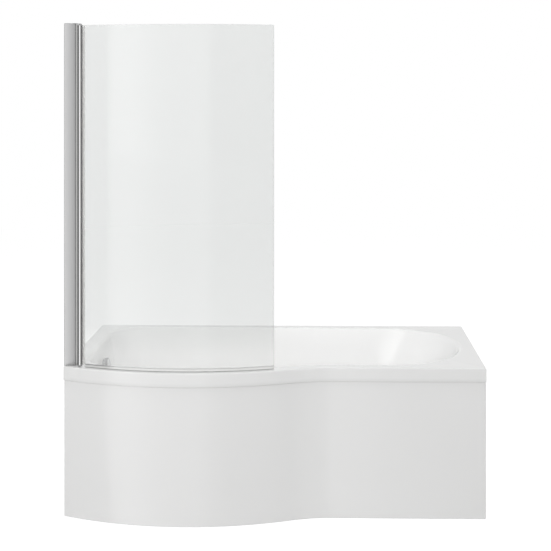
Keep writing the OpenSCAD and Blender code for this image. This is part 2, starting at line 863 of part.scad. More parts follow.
module waste_flange() {
    color("silver")
        translate([waste_c.x, waste_c.y, 0])
            difference() {
                union() {
                    translate([0, 0, floor_z])
                        cylinder(h = flange_t, r = flange_r, $fn = round_fn);
                    translate([0, 0, skirt_z])
                        cylinder(h = floor_z + past - skirt_z, r = skirt_r, $fn = round_fn);
                }
                translate([0, 0, floor_z + flange_step])
                    cylinder(h = flange_t, r = plug_r + 1, $fn = round_fn);
                difference() {
                    translate([0, 0, skirt_z - past])
                        cylinder(h = floor_z + flange_t - skirt_z, r = drain_r, $fn = round_fn);
                    translate([0, 0, spider_z])
                        spider();
                }
                translate([0, 0, spider_z - past])
                    cylinder(h = spider_h + 2 * past, r = stem_r + run_gap, $fn = round_fn);
            }
}

module waste_gasket() {
    color("black")
        translate([waste_c.x, waste_c.y, body_z + 0.1])
            tube(gasket_t - 0.2, flange_r - 1, skirt_r + 0.3);
}

module waste_body() {
    color("whitesmoke")
        difference() {
            union() {
                translate([waste_c.x, waste_c.y, body_z - body_top_t])
                    cylinder(h = body_top_t, r = flange_r - 1, $fn = round_fn);
                translate([waste_c.x, waste_c.y, thread_z])
                    cylinder(h = body_z - thread_z - 2, r = body_r, $fn = round_fn);
                translate([waste_c.x, waste_c.y, thread_z - thread_l])
                    cylinder(h = thread_l + 2, r = thread_r, $fn = round_fn);
                translate([hose_end_x, waste_c.y, spigot_z])
                    rotate([0, 90, 0])
                        cylinder(h = waste_c.x - hose_end_x, r = hose_spigot_r, $fn = round_fn);
                translate([waste_c.x, waste_c.y, cable_z])
                    rotate([0, 90, gland_a])
                        cylinder(h = gland_l, r = cable_r + gland_t, $fn = round_fn);
            }
            translate([waste_c.x, waste_c.y, skirt_z])
                cylinder(h = body_z + past - skirt_z, r = skirt_r + run_gap, $fn = round_fn);
            translate([waste_c.x, waste_c.y, thread_z - thread_l - past])
                cylinder(h = body_z - thread_z + thread_l, r = drain_r, $fn = round_fn);
            translate([hose_end_x - past, waste_c.y, spigot_z])
                rotate([0, 90, 0])
                    cylinder(h = waste_c.x - hose_end_x, r = hose_spigot_r - 2, $fn = round_fn);
            translate([waste_c.x, waste_c.y, cable_z])
                rotate([0, 90, gland_a])
                    cylinder(h = gland_l + past, r = cable_r + run_gap, $fn = round_fn);
        }
}

module trap_nut() {
    color("gainsboro")
        translate([waste_c.x, waste_c.y, 0])
            difference() {
                translate([0, 0, trap_top_z - 8])
                    cylinder(h = thread_l + 4, r = thread_r + 5, $fn = round_fn);
                translate([0, 0, trap_top_z - 4])
                    cylinder(h = thread_l + 10, r = thread_r + run_gap, $fn = round_fn);
                translate([0, 0, trap_top_z - 10])
                    cylinder(h = 20, r = pipe_out_r + run_gap, $fn = round_fn);
            }
}

// Centre line of the trap as solid round pieces of one radius
module trap_line(r, grow) {
    translate([waste_c.x, waste_c.y, bend_z])
        cylinder(h = trap_top_z - bend_z + grow, r = r, $fn = round_fn);
    translate([waste_c.x, waste_c.y + bend_r, bend_z])
        rotate([90, 0, 90])
            rotate([0, 0, 180])
                rotate_extrude(angle = 180, $fn = round_fn)
                    translate([bend_r, 0])
                        circle(r = r, $fn = round_fn);
    translate([waste_c.x, waste_c.y + 2 * bend_r, bend_z])
        cylinder(h = outlet_z - bend_r - bend_z, r = r, $fn = round_fn);
    translate([waste_c.x, outlet_y, outlet_z - bend_r])
        rotate([90, 0, 90])
            rotate([0, 0, 90])
                rotate_extrude(angle = 90, $fn = round_fn)
                    translate([bend_r, 0])
                        circle(r = r, $fn = round_fn);
    translate([waste_c.x, outlet_y, outlet_z])
        rotate([-90, 0, 0])
            cylinder(h = 16 + grow, r = r, $fn = round_fn);
}

module trap_body() {
    color("white")
        difference() {
            union() {
                trap_line(pipe_out_r, 0);
                translate([waste_c.x, waste_c.y, trap_top_z - 4])
                    cylinder(h = 4, r = thread_r - 0.5, $fn = round_fn);
                translate([waste_c.x, socket_y - 2, outlet_z])
                    rotate([-90, 0, 0])
                        cylinder(h = socket_l - outlet_nut_l, r = socket_r, $fn = round_fn);
            }
            trap_line(pipe_r, past);
            translate([waste_c.x, socket_y, outlet_z])
                rotate([-90, 0, 0])
                    cylinder(h = socket_l, r = outlet_bore_r, $fn = round_fn);
        }
}

module outlet_seal() {
    color("black")
        translate([waste_c.x, socket_y - 2 + socket_l - outlet_nut_l + 0.1, outlet_z])
            rotate([-90, 0, 0])
                tube(seal_l, socket_r - 0.3, outlet_bore_r);
}

module outlet_nut() {
    color("gainsboro")
        translate([waste_c.x, 0, outlet_z])
            rotate([-90, 0, 0])
                difference() {
                    translate([0, 0, outlet_nut_y])
                        cylinder(h = outlet_nut_l, r = socket_r + 4, $fn = round_fn);
                    translate([0, 0, outlet_nut_y - past])
                        cylinder(h = outlet_nut_l - 4 + past, r = socket_r + run_gap, $fn = round_fn);
                    translate([0, 0, outlet_y])
                        cylinder(h = 2 * socket_l, r = outlet_bore_r, $fn = round_fn);
                }
}

module overflow_gasket() {
    color("black")
        at_overflow()
            translate([0, 0, -wall_t - gasket_t + 0.1])
                tube(gasket_t - 0.2, knob_r, over_body_r - over_wall);
}

module overflow_body() {
    color("whitesmoke")
        difference() {
            union() {
                at_overflow() {
                    translate([0, 0, -wall_t - gasket_t - 4])
                        cylinder(h = 4, r = knob_r, $fn = round_fn);
                    translate([0, 0, -over_back])
                        cylinder(h = over_body_d, r = over_body_r, $fn = round_fn);
                }
                translate([hose_x, waste_c.y, hose_top_z - hose_grip - 2])
                    cylinder(h = overflow_h - hose_top_z + hose_grip, r = hose_spigot_r, $fn = round_fn);
                at_top_gland()
                    translate([0, 0, over_body_r - past])
                        cylinder(h = gland_l - over_body_r + past, r = cable_r + gland_t, $fn = round_fn);
            }
            at_overflow()
                translate([0, 0, over_wall - over_back])
                    cylinder(h = over_back, r = over_body_r - over_wall, $fn = round_fn);
            translate([hose_x, waste_c.y, hose_top_z - hose_grip - 2 - past])
                cylinder(h = overflow_h - hose_top_z + hose_grip, r = hose_spigot_r - 2, $fn = round_fn);
            at_top_gland()
                cylinder(h = gland_l + past, r = cable_r + run_gap, $fn = round_fn);
        }
}

module overflow_plate() {
    sleeve_z = -wall_t - gasket_t - sleeve_l;
    color("silver")
        at_overflow()
            difference() {
                union() {
                    translate([0, 0, 0.1])
                        cylinder(h = plate_t - 0.1, r = knob_r - 1.5, $fn = round_fn);
                    translate([0, 0, sleeve_z])
                        cylinder(h = past - sleeve_z, r = over_body_r - over_wall - run_gap, $fn = round_fn);
                }
                translate([0, 0, sleeve_z - past])
                    cylinder(h = past - sleeve_z, r = over_body_r - 2 * over_wall, $fn = round_fn);
                translate([0, 0, -past])
                    cylinder(h = plate_t + 2 * past, r = stem_r + run_gap, $fn = round_fn);
                for (a = [0 : 60 : 300])
                    rotate([0, 0, a])
                        translate([inlet_d, 0, -past])
                            cylinder(h = plate_t + 2 * past, r = stem_r, $fn = round_fn);
            }
}

// Knob that lets water in behind its rim and turns to lift the plug
module overflow_knob() {
    lever_z = over_wall + lever_gap - over_back;
    edge_rad = knob_t / 3;
    color("silver")
        at_overflow() {
            translate([0, 0, knob_w0])
                rotate_extrude($fn = round_fn)
                    polygon(concat(
                        [[0, 0], [knob_r - 1, 0]],
                        [for (a = [-60 : 30 : 90])
                            [knob_r - edge_rad + edge_rad * cos(a), knob_t - edge_rad + edge_rad * sin(a)]],
                        [[0, knob_t - 0.5]]
                    ));
            translate([0, 0, lever_z])
                cylinder(h = knob_w0 + past - lever_z, r = stem_r, $fn = round_fn);
            translate([0, 0, lever_z])
                cylinder(h = 5, r = over_body_r - 2 * over_wall - 2, $fn = round_fn);
        }
}

// Point and heading of the hose's centre line at distance s
function hose_point(s) =
    s < hose_down ? [hose_x, hose_top_z - s, 0]
    : s < hose_down + hose_turn
    ? let (a = (s - hose_down) / hose_bend_r * 180 / PI)
        [hose_c[0] - hose_bend_r * cos(a), hose_c[1] - hose_bend_r * sin(a), a]
    : [hose_c[0] + s - hose_down - hose_turn, spigot_z, 90];

// Ring of eight points square to the hose at s; the third value of a point is its heading
function hose_ring(s, r) =
    let (p = hose_point(s)) [
        for (k = [0 : 7])
            let (u = r * cos(k * 45 + 22.5), v = r * sin(k * 45 + 22.5))
            [p[0] + u * cos(p[2]), waste_c.y + v, p[1] + u * sin(p[2])]
    ];

module overflow_hose() {
    pitch = (hose_len - 2 * hose_plain) / rib_n;
    stops = [for (i = [0 : rib_n - 1]) each [
        [hose_plain + (i + 0.15) * pitch, hose_r * hose_big],
        [hose_plain + (i + 0.65) * pitch, (hose_r + rib_d) * hose_big]
    ]];
    outside = concat(
        [hose_ring(0, hose_r * hose_big)],
        [for (q = stops) hose_ring(q[0], q[1])],
        [hose_ring(hose_len - hose_plain, hose_r * hose_big), hose_ring(hose_len, hose_r * hose_big)]
    );
    inside = [for (i = [0 : 24]) hose_ring(hose_len * i / 24, hose_bore_r * hose_big)];
    color("lightgray")
        loft_loop(concat(reversed(outside), inside));
}

// Nut over a hose end that is pushed on its spigot
module hose_nut() {
    difference() {
        cylinder(h = hose_nut_l, r = hose_r * hose_big + 3.5, $fn = round_fn);
        translate([0, 0, -past])
            cylinder(h = hose_grip + past + 0.3, r = hose_r * hose_big + seat_gap, $fn = round_fn);
        cylinder(h = hose_nut_l + past, r = hose_spigot_r + run_gap, $fn = round_fn);
    }
}

module hose_nuts() {
    color("gainsboro") {
        translate([hose_x, waste_c.y, hose_top_z - hose_grip])
            hose_nut();
        translate([hose_end_x, waste_c.y, spigot_z])
            rotate([0, 90, 0])
                hose_nut();
    }
}

// Frame of the gland on the overflow body: local +Z runs down it
module at_top_gland() {
    translate(body_mid)
        rotate([180 - gland_slant, 0, 180])
            children();
}

module popup_cable() {
    n = len(cable_route);
    heading = [for (i = [0 : n - 1])
        let (d = cable_route[min(i + 1, n - 1)] - cable_route[max(i - 1, 0)]) d / norm(d)];
    rings = [for (i = [0 : n - 1])
        let (
            side = cross(heading[i], [1, 0.2, 0]),
            u = side / norm(side),
            v = cross(heading[i], u)
        ) [for (k = [0 : 7]) cable_route[i] + cable_r * (cos(k * 45) * u - sin(k * 45) * v)]];
    color("dimgray")
        loft_tube(rings);
}

module popup_plug() {
    color("silver")
        translate([waste_c.x, waste_c.y, plug_z]) {
            rotate_extrude($fn = round_fn)
                polygon(concat(
                    [[0, 0], [plug_r - 2, 0], [plug_r, plug_edge]],
                    [for (a = [15 : 15 : 75]) [plug_r * cos(a), mix(plug_edge, plug_t, sin(a))]],
                    [[0, plug_t]]
                ));
            translate([0, 0, -stem_l])
                cylinder(h = stem_l + past, r = stem_r, $fn = round_fn);
        }
}

module plug_seal() {
    color("black")
        translate([waste_c.x, waste_c.y, floor_z + flange_step + 0.3])
            tube(1.8, plug_r - 3, skirt_r - 1.5);
}

module wall_channel() {
    w = channel_w;
    d = channel_d;
    // Shape of the front: share of the width, share of the rounding
    crown = [[0.1, 0], [0.36, 0], [0.48, 0.06], [0.6, 0.19], [0.72, 0.37], [0.83, 0.58], [0.92, 0.79], [1, 1]];
    color("silver")
        translate([x_left, channel_y0, channel_z])
            difference() {
                linear_extrude(channel_l - cap_t)
                    polygon(concat(
                        [[0, 1.2], [1.2, 0.2]],
                        [for (q = crown) [q[0] * w, q[1] * crown_d]],
                        reversed([for (q = crown) [max(alu_t, q[0] * w), alu_t + q[1] * crown_d]]),
                        [[alu_t, d - alu_t], [w, d - alu_t], [w, d], [0, d]]
                    ));
                for (i = [0 : channel_hole_n - 1])
                    translate([-past, d / 2, channel_hole_z(i)])
                        rotate([0, 90, 0])
                            cylinder(h = alu_t + 2 * past, r = channel_hole_r, $fn = round_fn);
                for (z = adjust_zs)
                    translate([adjust_dx, d - alu_t - past, z - channel_z])
                        rotate([-90, 0, 0])
                            cylinder(h = alu_t + 2 * past, r = screw_r + run_gap, $fn = round_fn);
            }
}

// Height of a wall hole above the foot of the channel
function channel_hole_z(i) =
    mix(channel_hole_end, channel_l - channel_hole_end, i / (channel_hole_n - 1));

module hinge_post() {
    len = channel_l - cap_t - 2 * seat_gap;
    w = post_x1 - post_x0;
    lip_y0 = channel_y0 + 0.5 - post_y0;
    lip_y1 = channel_y0 + channel_d - post_y0;
    color("silver")
        difference() {
            translate([post_x0, post_y0, channel_z + seat_gap])
                linear_extrude(len)
                    difference() {
                        union() {
                            square([w, post_d]);
                            translate([w - post_lip, lip_y0])
                                square([post_lip, lip_y1 - lip_y0]);
                        }
                        translate([alu_t, alu_t])
                            square([w - 2 * alu_t, post_d - 2 * alu_t]);
                    }
            for (z = adjust_zs)
                translate([x_left + adjust_dx, post_y0 + post_d - alu_t - past, z])
                    rotate([-90, 0, 0])
                        cylinder(h = alu_t + 2 * past, r = screw_r + run_gap, $fn = round_fn);
        }
}

module adjust_screws() {
    color("gainsboro")
        for (z = adjust_zs)
            translate([x_left + adjust_dx, channel_y0 + channel_d, z])
                rotate([90, 0, 0])
                    pan_screw(alu_t + post_gap + alu_t + 2);
}

module channel_cap() {
    color("lightgray")
        translate([x_left, channel_y0 + 0.5, channel_top - cap_t])
            cube([post_x1 - x_left, channel_d - 0.5, cap_t]);
}

// Plan of a pivot block, from the post's end round the hinge pin
module block_plan() {
    difference() {
        union() {
            translate(hinge_c)
                circle(r = knuckle_r + 1, $fn = round_fn);
            translate([post_x1 + seat_gap, hinge_c.y - 2])
                square([hinge_c.x - post_x1 - seat_gap, pivot_d + 4]);
            translate([hinge_c.x - past, hinge_c.y])
                square([knuckle_r + 1 + past, pivot_d + 2]);
        }
        translate(hinge_c)
            circle(r = pin_r + run_gap, $fn = round_fn);
    }
}

module pivot_blocks() {
    color("silver") {
        translate([0, 0, channel_z])
            linear_extrude(pivot_t)
                block_plan();
        translate([0, 0, channel_top - pivot_t - cap_t])
            linear_extrude(pivot_t)
                block_plan();
    }
}

module hinge_pins() {
    color("gainsboro") {
        translate([hinge_c.x, hinge_c.y, channel_z])
            cylinder(h = pin_l, r = pin_r, $fn = round_fn);
        translate([hinge_c.x, hinge_c.y, channel_top - cap_t - pin_l])
            cylinder(h = pin_l, r = pin_r, $fn = round_fn);
    }
}

// The rail's outline: a round knuckle and the block that holds the edge of the glass
module rail_plan() {
    difference() {
        union() {
            circle(r = knuckle_r, $fn = round_fn);
            translate([0, -rail_out])
                square([rail_w, rail_out + rail_in]);
        }
        circle(r = pin_r + run_gap, $fn = round_fn);
        translate([-past, -rail_out - past])
            square([rail_x0 + past, rail_out - knuckle_r * 0.6 + past]);
    }
}

// Slot of the rail for the glass and its gasket
module rail_slot() {
    side = gasket_side + 0.6;
    translate([slot_x, -hinge_in - glass_t - side])
        square([rail_w, glass_t + 2 * side]);
}

module glass_rail() {
    color("silver")
        at_hinge()
            translate([0, 0, rail_z0])
                linear_extrude(rail_z1 - rail_z0)
                    difference() {
                        rail_plan();
                        rail_slot();
                    }
}

module rail_caps() {
    color("lightgray")
        at_hinge() {
            translate([0, 0, rail_z1 + 0.1])
                linear_extrude(rail_cap_t)
                    rail_plan();
            translate([0, 0, rail_z0 - 0.1 - rail_cap_t])
                linear_extrude(rail_cap_t)
                    difference() {
                        rail_plan();
                        rail_slot();
                    }
        }
}

module rail_gasket() {
    color("lightgray") {
        for (r = [glass_out_r + seat_gap, glass_in_r - gasket_side])
            bow_sector(r, r + gasket_side - seat_gap, rail_z0 + 1, rail_z1 - 1, glass_x0, gasket_x1);
    }
}

module glass_panel() {
    color("lightcyan", 0.4)
        bow_sector(glass_in_r, glass_out_r, glass_z0, glass_top, glass_x0, glass_x1);
}

// U-shaped seal gripping the bottom edge of the glass with a blade down to the rim
module bottom_seal() {
    x0 = gasket_x1 + 2;
    wall = 1.2;
    mid_r = (glass_in_r + glass_out_r) / 2;
    color("dimgray") {
        difference() {
            union() {
                bow_sector(glass_in_r - wall, glass_out_r + wall, glass_z0 - 2 * wall,
                    glass_z0 + seal_grip, x0, glass_x1);
                bow_sector(mid_r - wall / 2, mid_r + wall / 2, rim_h + 0.3, glass_z0 - 1, x0, glass_x1);
            }
            bow_sector(glass_in_r - seat_gap, glass_out_r + seat_gap, glass_z0 - seat_gap,
                glass_z0 + seal_grip + past, x0 - past, glass_x1 + past);
        }
    }
}

module stud_back_left() {
    stud(foot_place(0, 0), stud_top);
}

module stud_front_left() {
    stud(foot_place(0, 1), stud_top);
}

module stud_back_right() {
    stud(foot_place(1, 0), stud_top);
}

module stud_front_right() {
    stud(foot_place(1, 1), stud_top);
}

module stud_centre() {
    stud(centre_place, centre_top);
}

module pad_back_left() {
    pad(foot_place(0, 0));
}

module pad_front_left() {
    pad(foot_place(0, 1));
}

module pad_back_right() {
    pad(foot_place(1, 0));
}

module pad_front_right() {
    pad(foot_place(1, 1));
}

module pad_centre() {
    pad(centre_place);
}

bath_shell();
base_board();
back_batten();
front_batten();
end_battens();
cross_bars();
bar_screws();
foot_nuts();
centre_plate();
plate_screws();
wall_brackets();
bracket_screws();
front_panel();
floor_blocks();
panel_clips();
clip_screws();
waste_flange();
waste_gasket();
waste_body();
trap_nut();
trap_body();
outlet_seal();
outlet_nut();
overflow_gasket();
overflow_body();
overflow_plate();
overflow_hose();
hose_nuts();
popup_cable();
overflow_knob();
popup_plug();
plug_seal();
wall_channel();
hinge_post();
adjust_screws();
channel_cap();
pivot_blocks();
hinge_pins();
glass_rail();
rail_caps();
rail_gasket();
glass_panel();
bottom_seal();
stud_back_left();
stud_front_left();
stud_back_right();
stud_front_right();
stud_centre();
pad_back_left();
pad_front_left();
pad_back_right();
pad_front_right();
pad_centre();
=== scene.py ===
import json
import math
import bpy
import bmesh
from mathutils import Matrix, Vector


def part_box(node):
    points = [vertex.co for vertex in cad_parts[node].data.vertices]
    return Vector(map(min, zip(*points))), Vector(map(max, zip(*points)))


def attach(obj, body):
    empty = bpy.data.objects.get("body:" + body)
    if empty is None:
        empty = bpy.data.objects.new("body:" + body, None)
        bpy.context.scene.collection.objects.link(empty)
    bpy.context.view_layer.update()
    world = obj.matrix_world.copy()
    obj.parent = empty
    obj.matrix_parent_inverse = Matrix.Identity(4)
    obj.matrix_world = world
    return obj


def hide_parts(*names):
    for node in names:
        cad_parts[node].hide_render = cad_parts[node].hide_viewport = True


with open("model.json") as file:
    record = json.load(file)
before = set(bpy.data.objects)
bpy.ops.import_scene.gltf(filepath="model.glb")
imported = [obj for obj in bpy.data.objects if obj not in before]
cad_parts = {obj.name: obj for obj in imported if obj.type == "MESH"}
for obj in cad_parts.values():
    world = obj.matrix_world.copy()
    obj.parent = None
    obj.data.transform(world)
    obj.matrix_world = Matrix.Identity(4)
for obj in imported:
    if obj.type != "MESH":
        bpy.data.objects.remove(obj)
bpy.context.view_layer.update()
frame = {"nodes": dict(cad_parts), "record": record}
nodes = frame["nodes"]
subparts = frame["record"]["subparts"]

# The outline in plan, in metres: a bow and a counter-curve that lead into a straight front
X_LEFT, X_RIGHT = -0.85, 0.85
Y_BACK, Y_FRONT = 0.425, -0.325
BOW_R, SWEEP_R = 1.275125, 0.486
BOW_C = (-0.355, 0.850125)
SWEEP_C = (0.23, -0.811)
RIM_Z, LIP_Z, FLOOR_Z = 0.607, 0.551, 0.207
SHELL_T, RIM_ROUND = 0.005, 0.005

# The basin: its ledges at the rim, how far its walls lean in, its corners and its easings
BASIN_DEPTH = 0.4
BACK_LEDGE, FRONT_LEDGE, LEFT_LEDGE, HEAD_LEDGE = 0.048, 0.053, 0.075, 0.06
SIDE_LEAN, LEFT_LEAN, HEAD_LEAN = 0.065, 0.07, 0.23
CORNER_R, CORNER_LEAN = 0.15, 0.03
HEAD_STRETCH = 0.97
TOP_EASE, FOOT_RISE, FOOT_RUN = 0.014, 0.066, 0.06
WASTE = (-0.595, 0.035)
WASTE_HOLE_R, LEVEL_R = 0.026, 0.042
FLOOR_FALL = 0.008

# The overflow stands square to the sloping end wall
WALL_A = math.atan(LEFT_LEAN / BASIN_DEPTH)
OVERFLOW = Vector((-0.758725, 0.035, 0.514))

# The screen follows the bow: radii of the glass, its ends in X and in height, and its seal
GLASS_OUT, GLASS_IN = 1.257125, 1.251125
GLASS_MID = (GLASS_IN + GLASS_OUT) / 2
GLASS_X0, GLASS_X1 = -0.778, 0.0
GLASS_Z0, GLASS_Z1 = 0.612, 1.9819
GLASS_BEVEL = 0.001
CHANNEL_Z = 0.6072
SEAL_X0, SEAL_TOP = -0.759, 0.622
SEAL_WALL = 0.0012


# Plan curves of the bath

def mix(a, b, f):
    return a + (b - a) * f


def mixed(p, q, f):
    return tuple(mix(a, b, f) for a, b in zip(p, q))


def bezier(p, q, r, f):
    return mixed(mixed(p, q, f), mixed(q, r, f), f)


def steps(a, b, n):
    """n even steps from a towards b, without b itself."""
    return [mix(a, b, k / n) for k in range(n)]


def round_angles(n):
    return [2 * math.pi * k / n for k in range(n)]


def join_x(inset):
    """X where the bow meets the counter-curve."""
    return BOW_C[0] + (SWEEP_C[0] - BOW_C[0]) * (BOW_R - inset) / (BOW_R + SWEEP_R)


def front_at(x, inset):
    """Y of the bath's front edge at x, drawn in by inset."""
    if x < join_x(inset):
        return BOW_C[1] - math.sqrt((BOW_R - inset) ** 2 - (x - BOW_C[0]) ** 2)
    if x < SWEEP_C[0]:
        return SWEEP_C[1] + math.sqrt((SWEEP_R + inset) ** 2 - (x - SWEEP_C[0]) ** 2)
    return Y_FRONT + inset


def floor_at(x):
    """Height of the basin's floor, which falls towards the level ground round the waste."""
    return FLOOR_Z + FLOOR_FALL * max(0.0, x - WASTE[0] - LEVEL_R)


# Points along each side of the shell's rings
N_BACK, N_RIGHT, N_FRONT, N_LEFT = 96, 56, 136, 56


def outer_ring(inset, z):
    """Ring round the outside of the bath, drawn in by inset."""
    x0, x1, y1 = X_LEFT + inset, X_RIGHT - inset, Y_BACK - inset
    ring = [(x, y1, z) for x in steps(x0, x1, N_BACK)]
    ring += [(x1, y, z) for y in steps(y1, Y_FRONT + inset, N_RIGHT)]
    ring += [(x, front_at(x, inset), z) for x in steps(x1, x0, N_FRONT)]
    ring += [(x0, y, z) for y in steps(front_at(x0, inset), y1, N_LEFT)]
    return ring


def basin_ring(s, inset):
    """Plan of the basin: s is 0 at the rim and 1 at the foot of its wall."""
    y1 = Y_BACK - BACK_LEDGE - s * SIDE_LEAN - inset
    front_in = FRONT_LEDGE + s * SIDE_LEAN + inset
    y0 = Y_FRONT + front_in
    x0 = X_LEFT + LEFT_LEDGE + s * LEFT_LEAN + inset
    half, mid = (y1 - y0) / 2, (y1 + y0) / 2
    long = half * HEAD_STRETCH
    xc = X_RIGHT - HEAD_LEDGE - s * HEAD_LEAN - inset - long
    rc = CORNER_R - s * CORNER_LEAN - inset / 2
    turn = math.radians(45)
    xa, xb = x0 + rc * (1 - math.cos(turn)), xc + long * math.cos(turn)

    def round_in(x):
        return rc - math.sqrt(max(0.0, rc * rc - (x0 + rc - x) ** 2))

    def back_y(x):
        if x > xc:
            return mid + half * math.sqrt(1 - ((x - xc) / long) ** 2)
        return y1 - round_in(x) if x < x0 + rc else y1

    def front_y(x):
        if x > xc:
            return mid - half * math.sqrt(1 - ((x - xc) / long) ** 2)
        return front_at(x, front_in) + (round_in(x) if x < x0 + rc else 0.0)

    ya, yb = front_y(xa), back_y(xa)

    def left_x(y):
        if y < ya + rc * math.sin(turn):
            return x0 + rc - math.sqrt(rc * rc - (ya + rc * math.sin(turn) - y) ** 2)
        if y > y1 - rc:
            return x0 + rc - math.sqrt(rc * rc - (y - y1 + rc) ** 2)
        return x0

    ring = [(x, back_y(x)) for x in steps(xa, xb, N_BACK)]
    ring += [(xc + long * math.cos(a), mid + half * math.sin(a)) for a in steps(turn, -turn, N_RIGHT)]
    ring += [(x, front_y(x)) for x in steps(xb, xa, N_FRONT)]
    ring += [(left_x(y), y) for y in steps(ya, yb, N_LEFT)]
    return ring


def basin_rings(depth):
    """Rings of one face of the basin from the waste up to the rim: depth is 0 inside."""
    rim = [(x, y, RIM_Z - depth) for x, y in basin_ring(0, -depth)]
    foot = [(x, y, floor_at(x) - depth) for x, y in basin_ring(1, -depth)]
    flat_top = [(x, y, RIM_Z - depth) for x, y in basin_ring(0, -depth - TOP_EASE)]
    flat_low = [(x, y, floor_at(x) - depth) for x, y in basin_ring(1, FOOT_RUN - depth)]
    away = [(Vector(p[:2]) - Vector(WASTE)).normalized() for p in flat_low]

    def round_ring(r):
        return [(WASTE[0] + r * v.x, WASTE[1] + r * v.y, FLOOR_Z - depth) for v in away]

    edge_f, foot_f = TOP_EASE / BASIN_DEPTH, 1 - FOOT_RISE / BASIN_DEPTH
    ground = round_ring(LEVEL_R)
    rings = [round_ring(WASTE_HOLE_R), ground]
    for f in (0.15, 0.3, 0.5, 0.75):
        flat = [mixed(a, b, f)[:2] for a, b in zip(ground, flat_low)]
        rings.append([(x, y, floor_at(x) - depth) for x, y in flat])
    for k in range(11):
        rings.append([bezier(a, b, mixed(c, b, foot_f), k / 10) for a, b, c in zip(flat_low, foot, rim)])
    for k in range(1, 8):
        rings.append([mixed(c, b, mix(foot_f, edge_f, k / 8)) for b, c in zip(foot, rim)])
    for k in range(9):
        rings.append([bezier(mixed(c, b, edge_f), c, d, k / 8) for b, c, d in zip(foot, rim, flat_top)])
    return rings


# Mesh tools

MERGE_GAP = 1e-6
FLAT_ANGLE = math.radians(0.3)
CORNER_ANGLE = math.radians(40)


def loop_of(bm, points, closed=True):
    """Vertices and edges through the points, in their order."""
    verts = [bm.verts.new(p) for p in points]
    last = len(verts) if closed else len(verts) - 1
    edges = [bm.edges.new((verts[i], verts[(i + 1) % len(verts)])) for i in range(last)]
    return verts, edges


def grow(bm, verts, edges, points):
    """Extrudes a loop and moves the new vertices to the points, which are in the loop's order."""
    made = bmesh.ops.extrude_edge_only(bm, edges=edges)["geom"]
    new = {g for g in made if isinstance(g, bmesh.types.BMVert)}
    fresh = []
    for v, p in zip(verts, points):
        w = next(e.other_vert(v) for e in v.link_edges if e.other_vert(v) in new)
        w.co = p
        fresh.append(w)
    last = len(fresh) if len(edges) == len(verts) else len(fresh) - 1
    side = [bm.edges.get((fresh[i], fresh[(i + 1) % len(fresh)])) for i in range(last)]
    faces = [g for g in made if isinstance(g, bmesh.types.BMFace)]
    return fresh, side, faces


def loft(bm, rings, joined=False):
    """Surface through closed rings. With joined, the last ring meets the first.

    Returns the faces between each two rings."""
    first = loop_of(bm, rings[0])
    verts, edges = first
    bands = []
    for ring in rings[1:] + ([rings[0]] if joined else []):
        verts, edges, faces = grow(bm, verts, edges, ring)
        bands.append(faces)
    if joined:
        bmesh.ops.weld_verts(bm, targetmap=dict(zip(verts, first[0])))
    return bands


def closed_loft(bm, rings):
    """Loft between two ends that are closed."""
    loft(bm, rings)
    ends = [e for e in bm.edges if len(e.link_faces) == 1]
    bmesh.ops.holes_fill(bm, edges=ends, sides=0)


def bend(cx, cz, r, start, end, n=4):
    """Points of a rolled corner between two angles in degrees."""
    angles = [math.radians(mix(start, end, k / n)) for k in range(n + 1)]
    return [(cx + r * math.cos(a), cz + r * math.sin(a)) for a in angles]


def newer(bm, old):
    """The vertices that aren't in old."""
    return [v for v in bm.verts if v not in old]


def turned(bm, profile, place, around=64):
    """Profile of radii and heights spun about Z and then placed."""
    old = set(bm.verts)
    verts, edges = loop_of(bm, [(r, 0.0, z) for r, z in profile], closed=False)
    bmesh.ops.spin(bm, geom=verts + edges, cent=(0, 0, 0), axis=(0, 0, 1), dvec=(0, 0, 0),
                   angle=2 * math.pi, steps=around, use_merge=True)
    bmesh.ops.remove_doubles(bm, verts=newer(bm, old), dist=1e-7)
    bmesh.ops.transform(bm, matrix=place, verts=newer(bm, old))


def merged_copy(node):
    """Copy of a CAD node's mesh with its doubles merged and its flat faces whole."""
    bm = bmesh.new()
    bm.from_mesh(nodes[node].data)
    bmesh.ops.remove_doubles(bm, verts=bm.verts[:], dist=MERGE_GAP)
    bmesh.ops.dissolve_limit(bm, angle_limit=FLAT_ANGLE, verts=bm.verts[:], edges=bm.edges[:],
                             use_dissolve_boundaries=False)
    return bm


def eased_copy(node, width):
    """Merged copy of a node's mesh with its sharp edges bevelled by width."""
    bm = merged_copy(node)
    if width:
        sharp = [e for e in bm.edges if len(e.link_faces) == 2 and e.calc_face_angle(0.0) > CORNER_ANGLE]
        bmesh.ops.bevel(bm, geom=sharp, offset=width, affect="EDGES", segments=2, profile=0.5, material=-1,
                        clamp_overlap=True)
    return bm


def new_object(name, bm, finishes):
    """Object at the origin made of a bmesh, with its finishes."""
    mesh = bpy.data.meshes.new(name)
    bm.to_mesh(mesh)
    bm.free()
    obj = bpy.data.objects.new(name, mesh)
    bpy.context.scene.collection.objects.link(obj)
    for finish in finishes:
        mesh.materials.append(finish)
    return obj


def piece(name, bm, finishes, body, replaced, slot, smooth=30.0):
    """Turns a bmesh into a finished piece that rides on a body and stands for CAD nodes.

    Edges sharper than smooth, in degrees, stay sharp."""
    bmesh.ops.recalc_face_normals(bm, faces=bm.faces[:])
    obj = new_object(name, bm, finishes)
    obj.data.shade_smooth()
    obj.data.set_sharp_from_angle(angle=math.radians(smooth))
    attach(obj, body)
    if replaced:
        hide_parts(*replaced)
    return obj


# Node tools

def feed(tree, socket, value):
    """Links a socket to another one, or gives it a value."""
    if isinstance(value, bpy.types.NodeSocket):
        tree.links.new(value, socket)
    else:
        socket.default_value = value


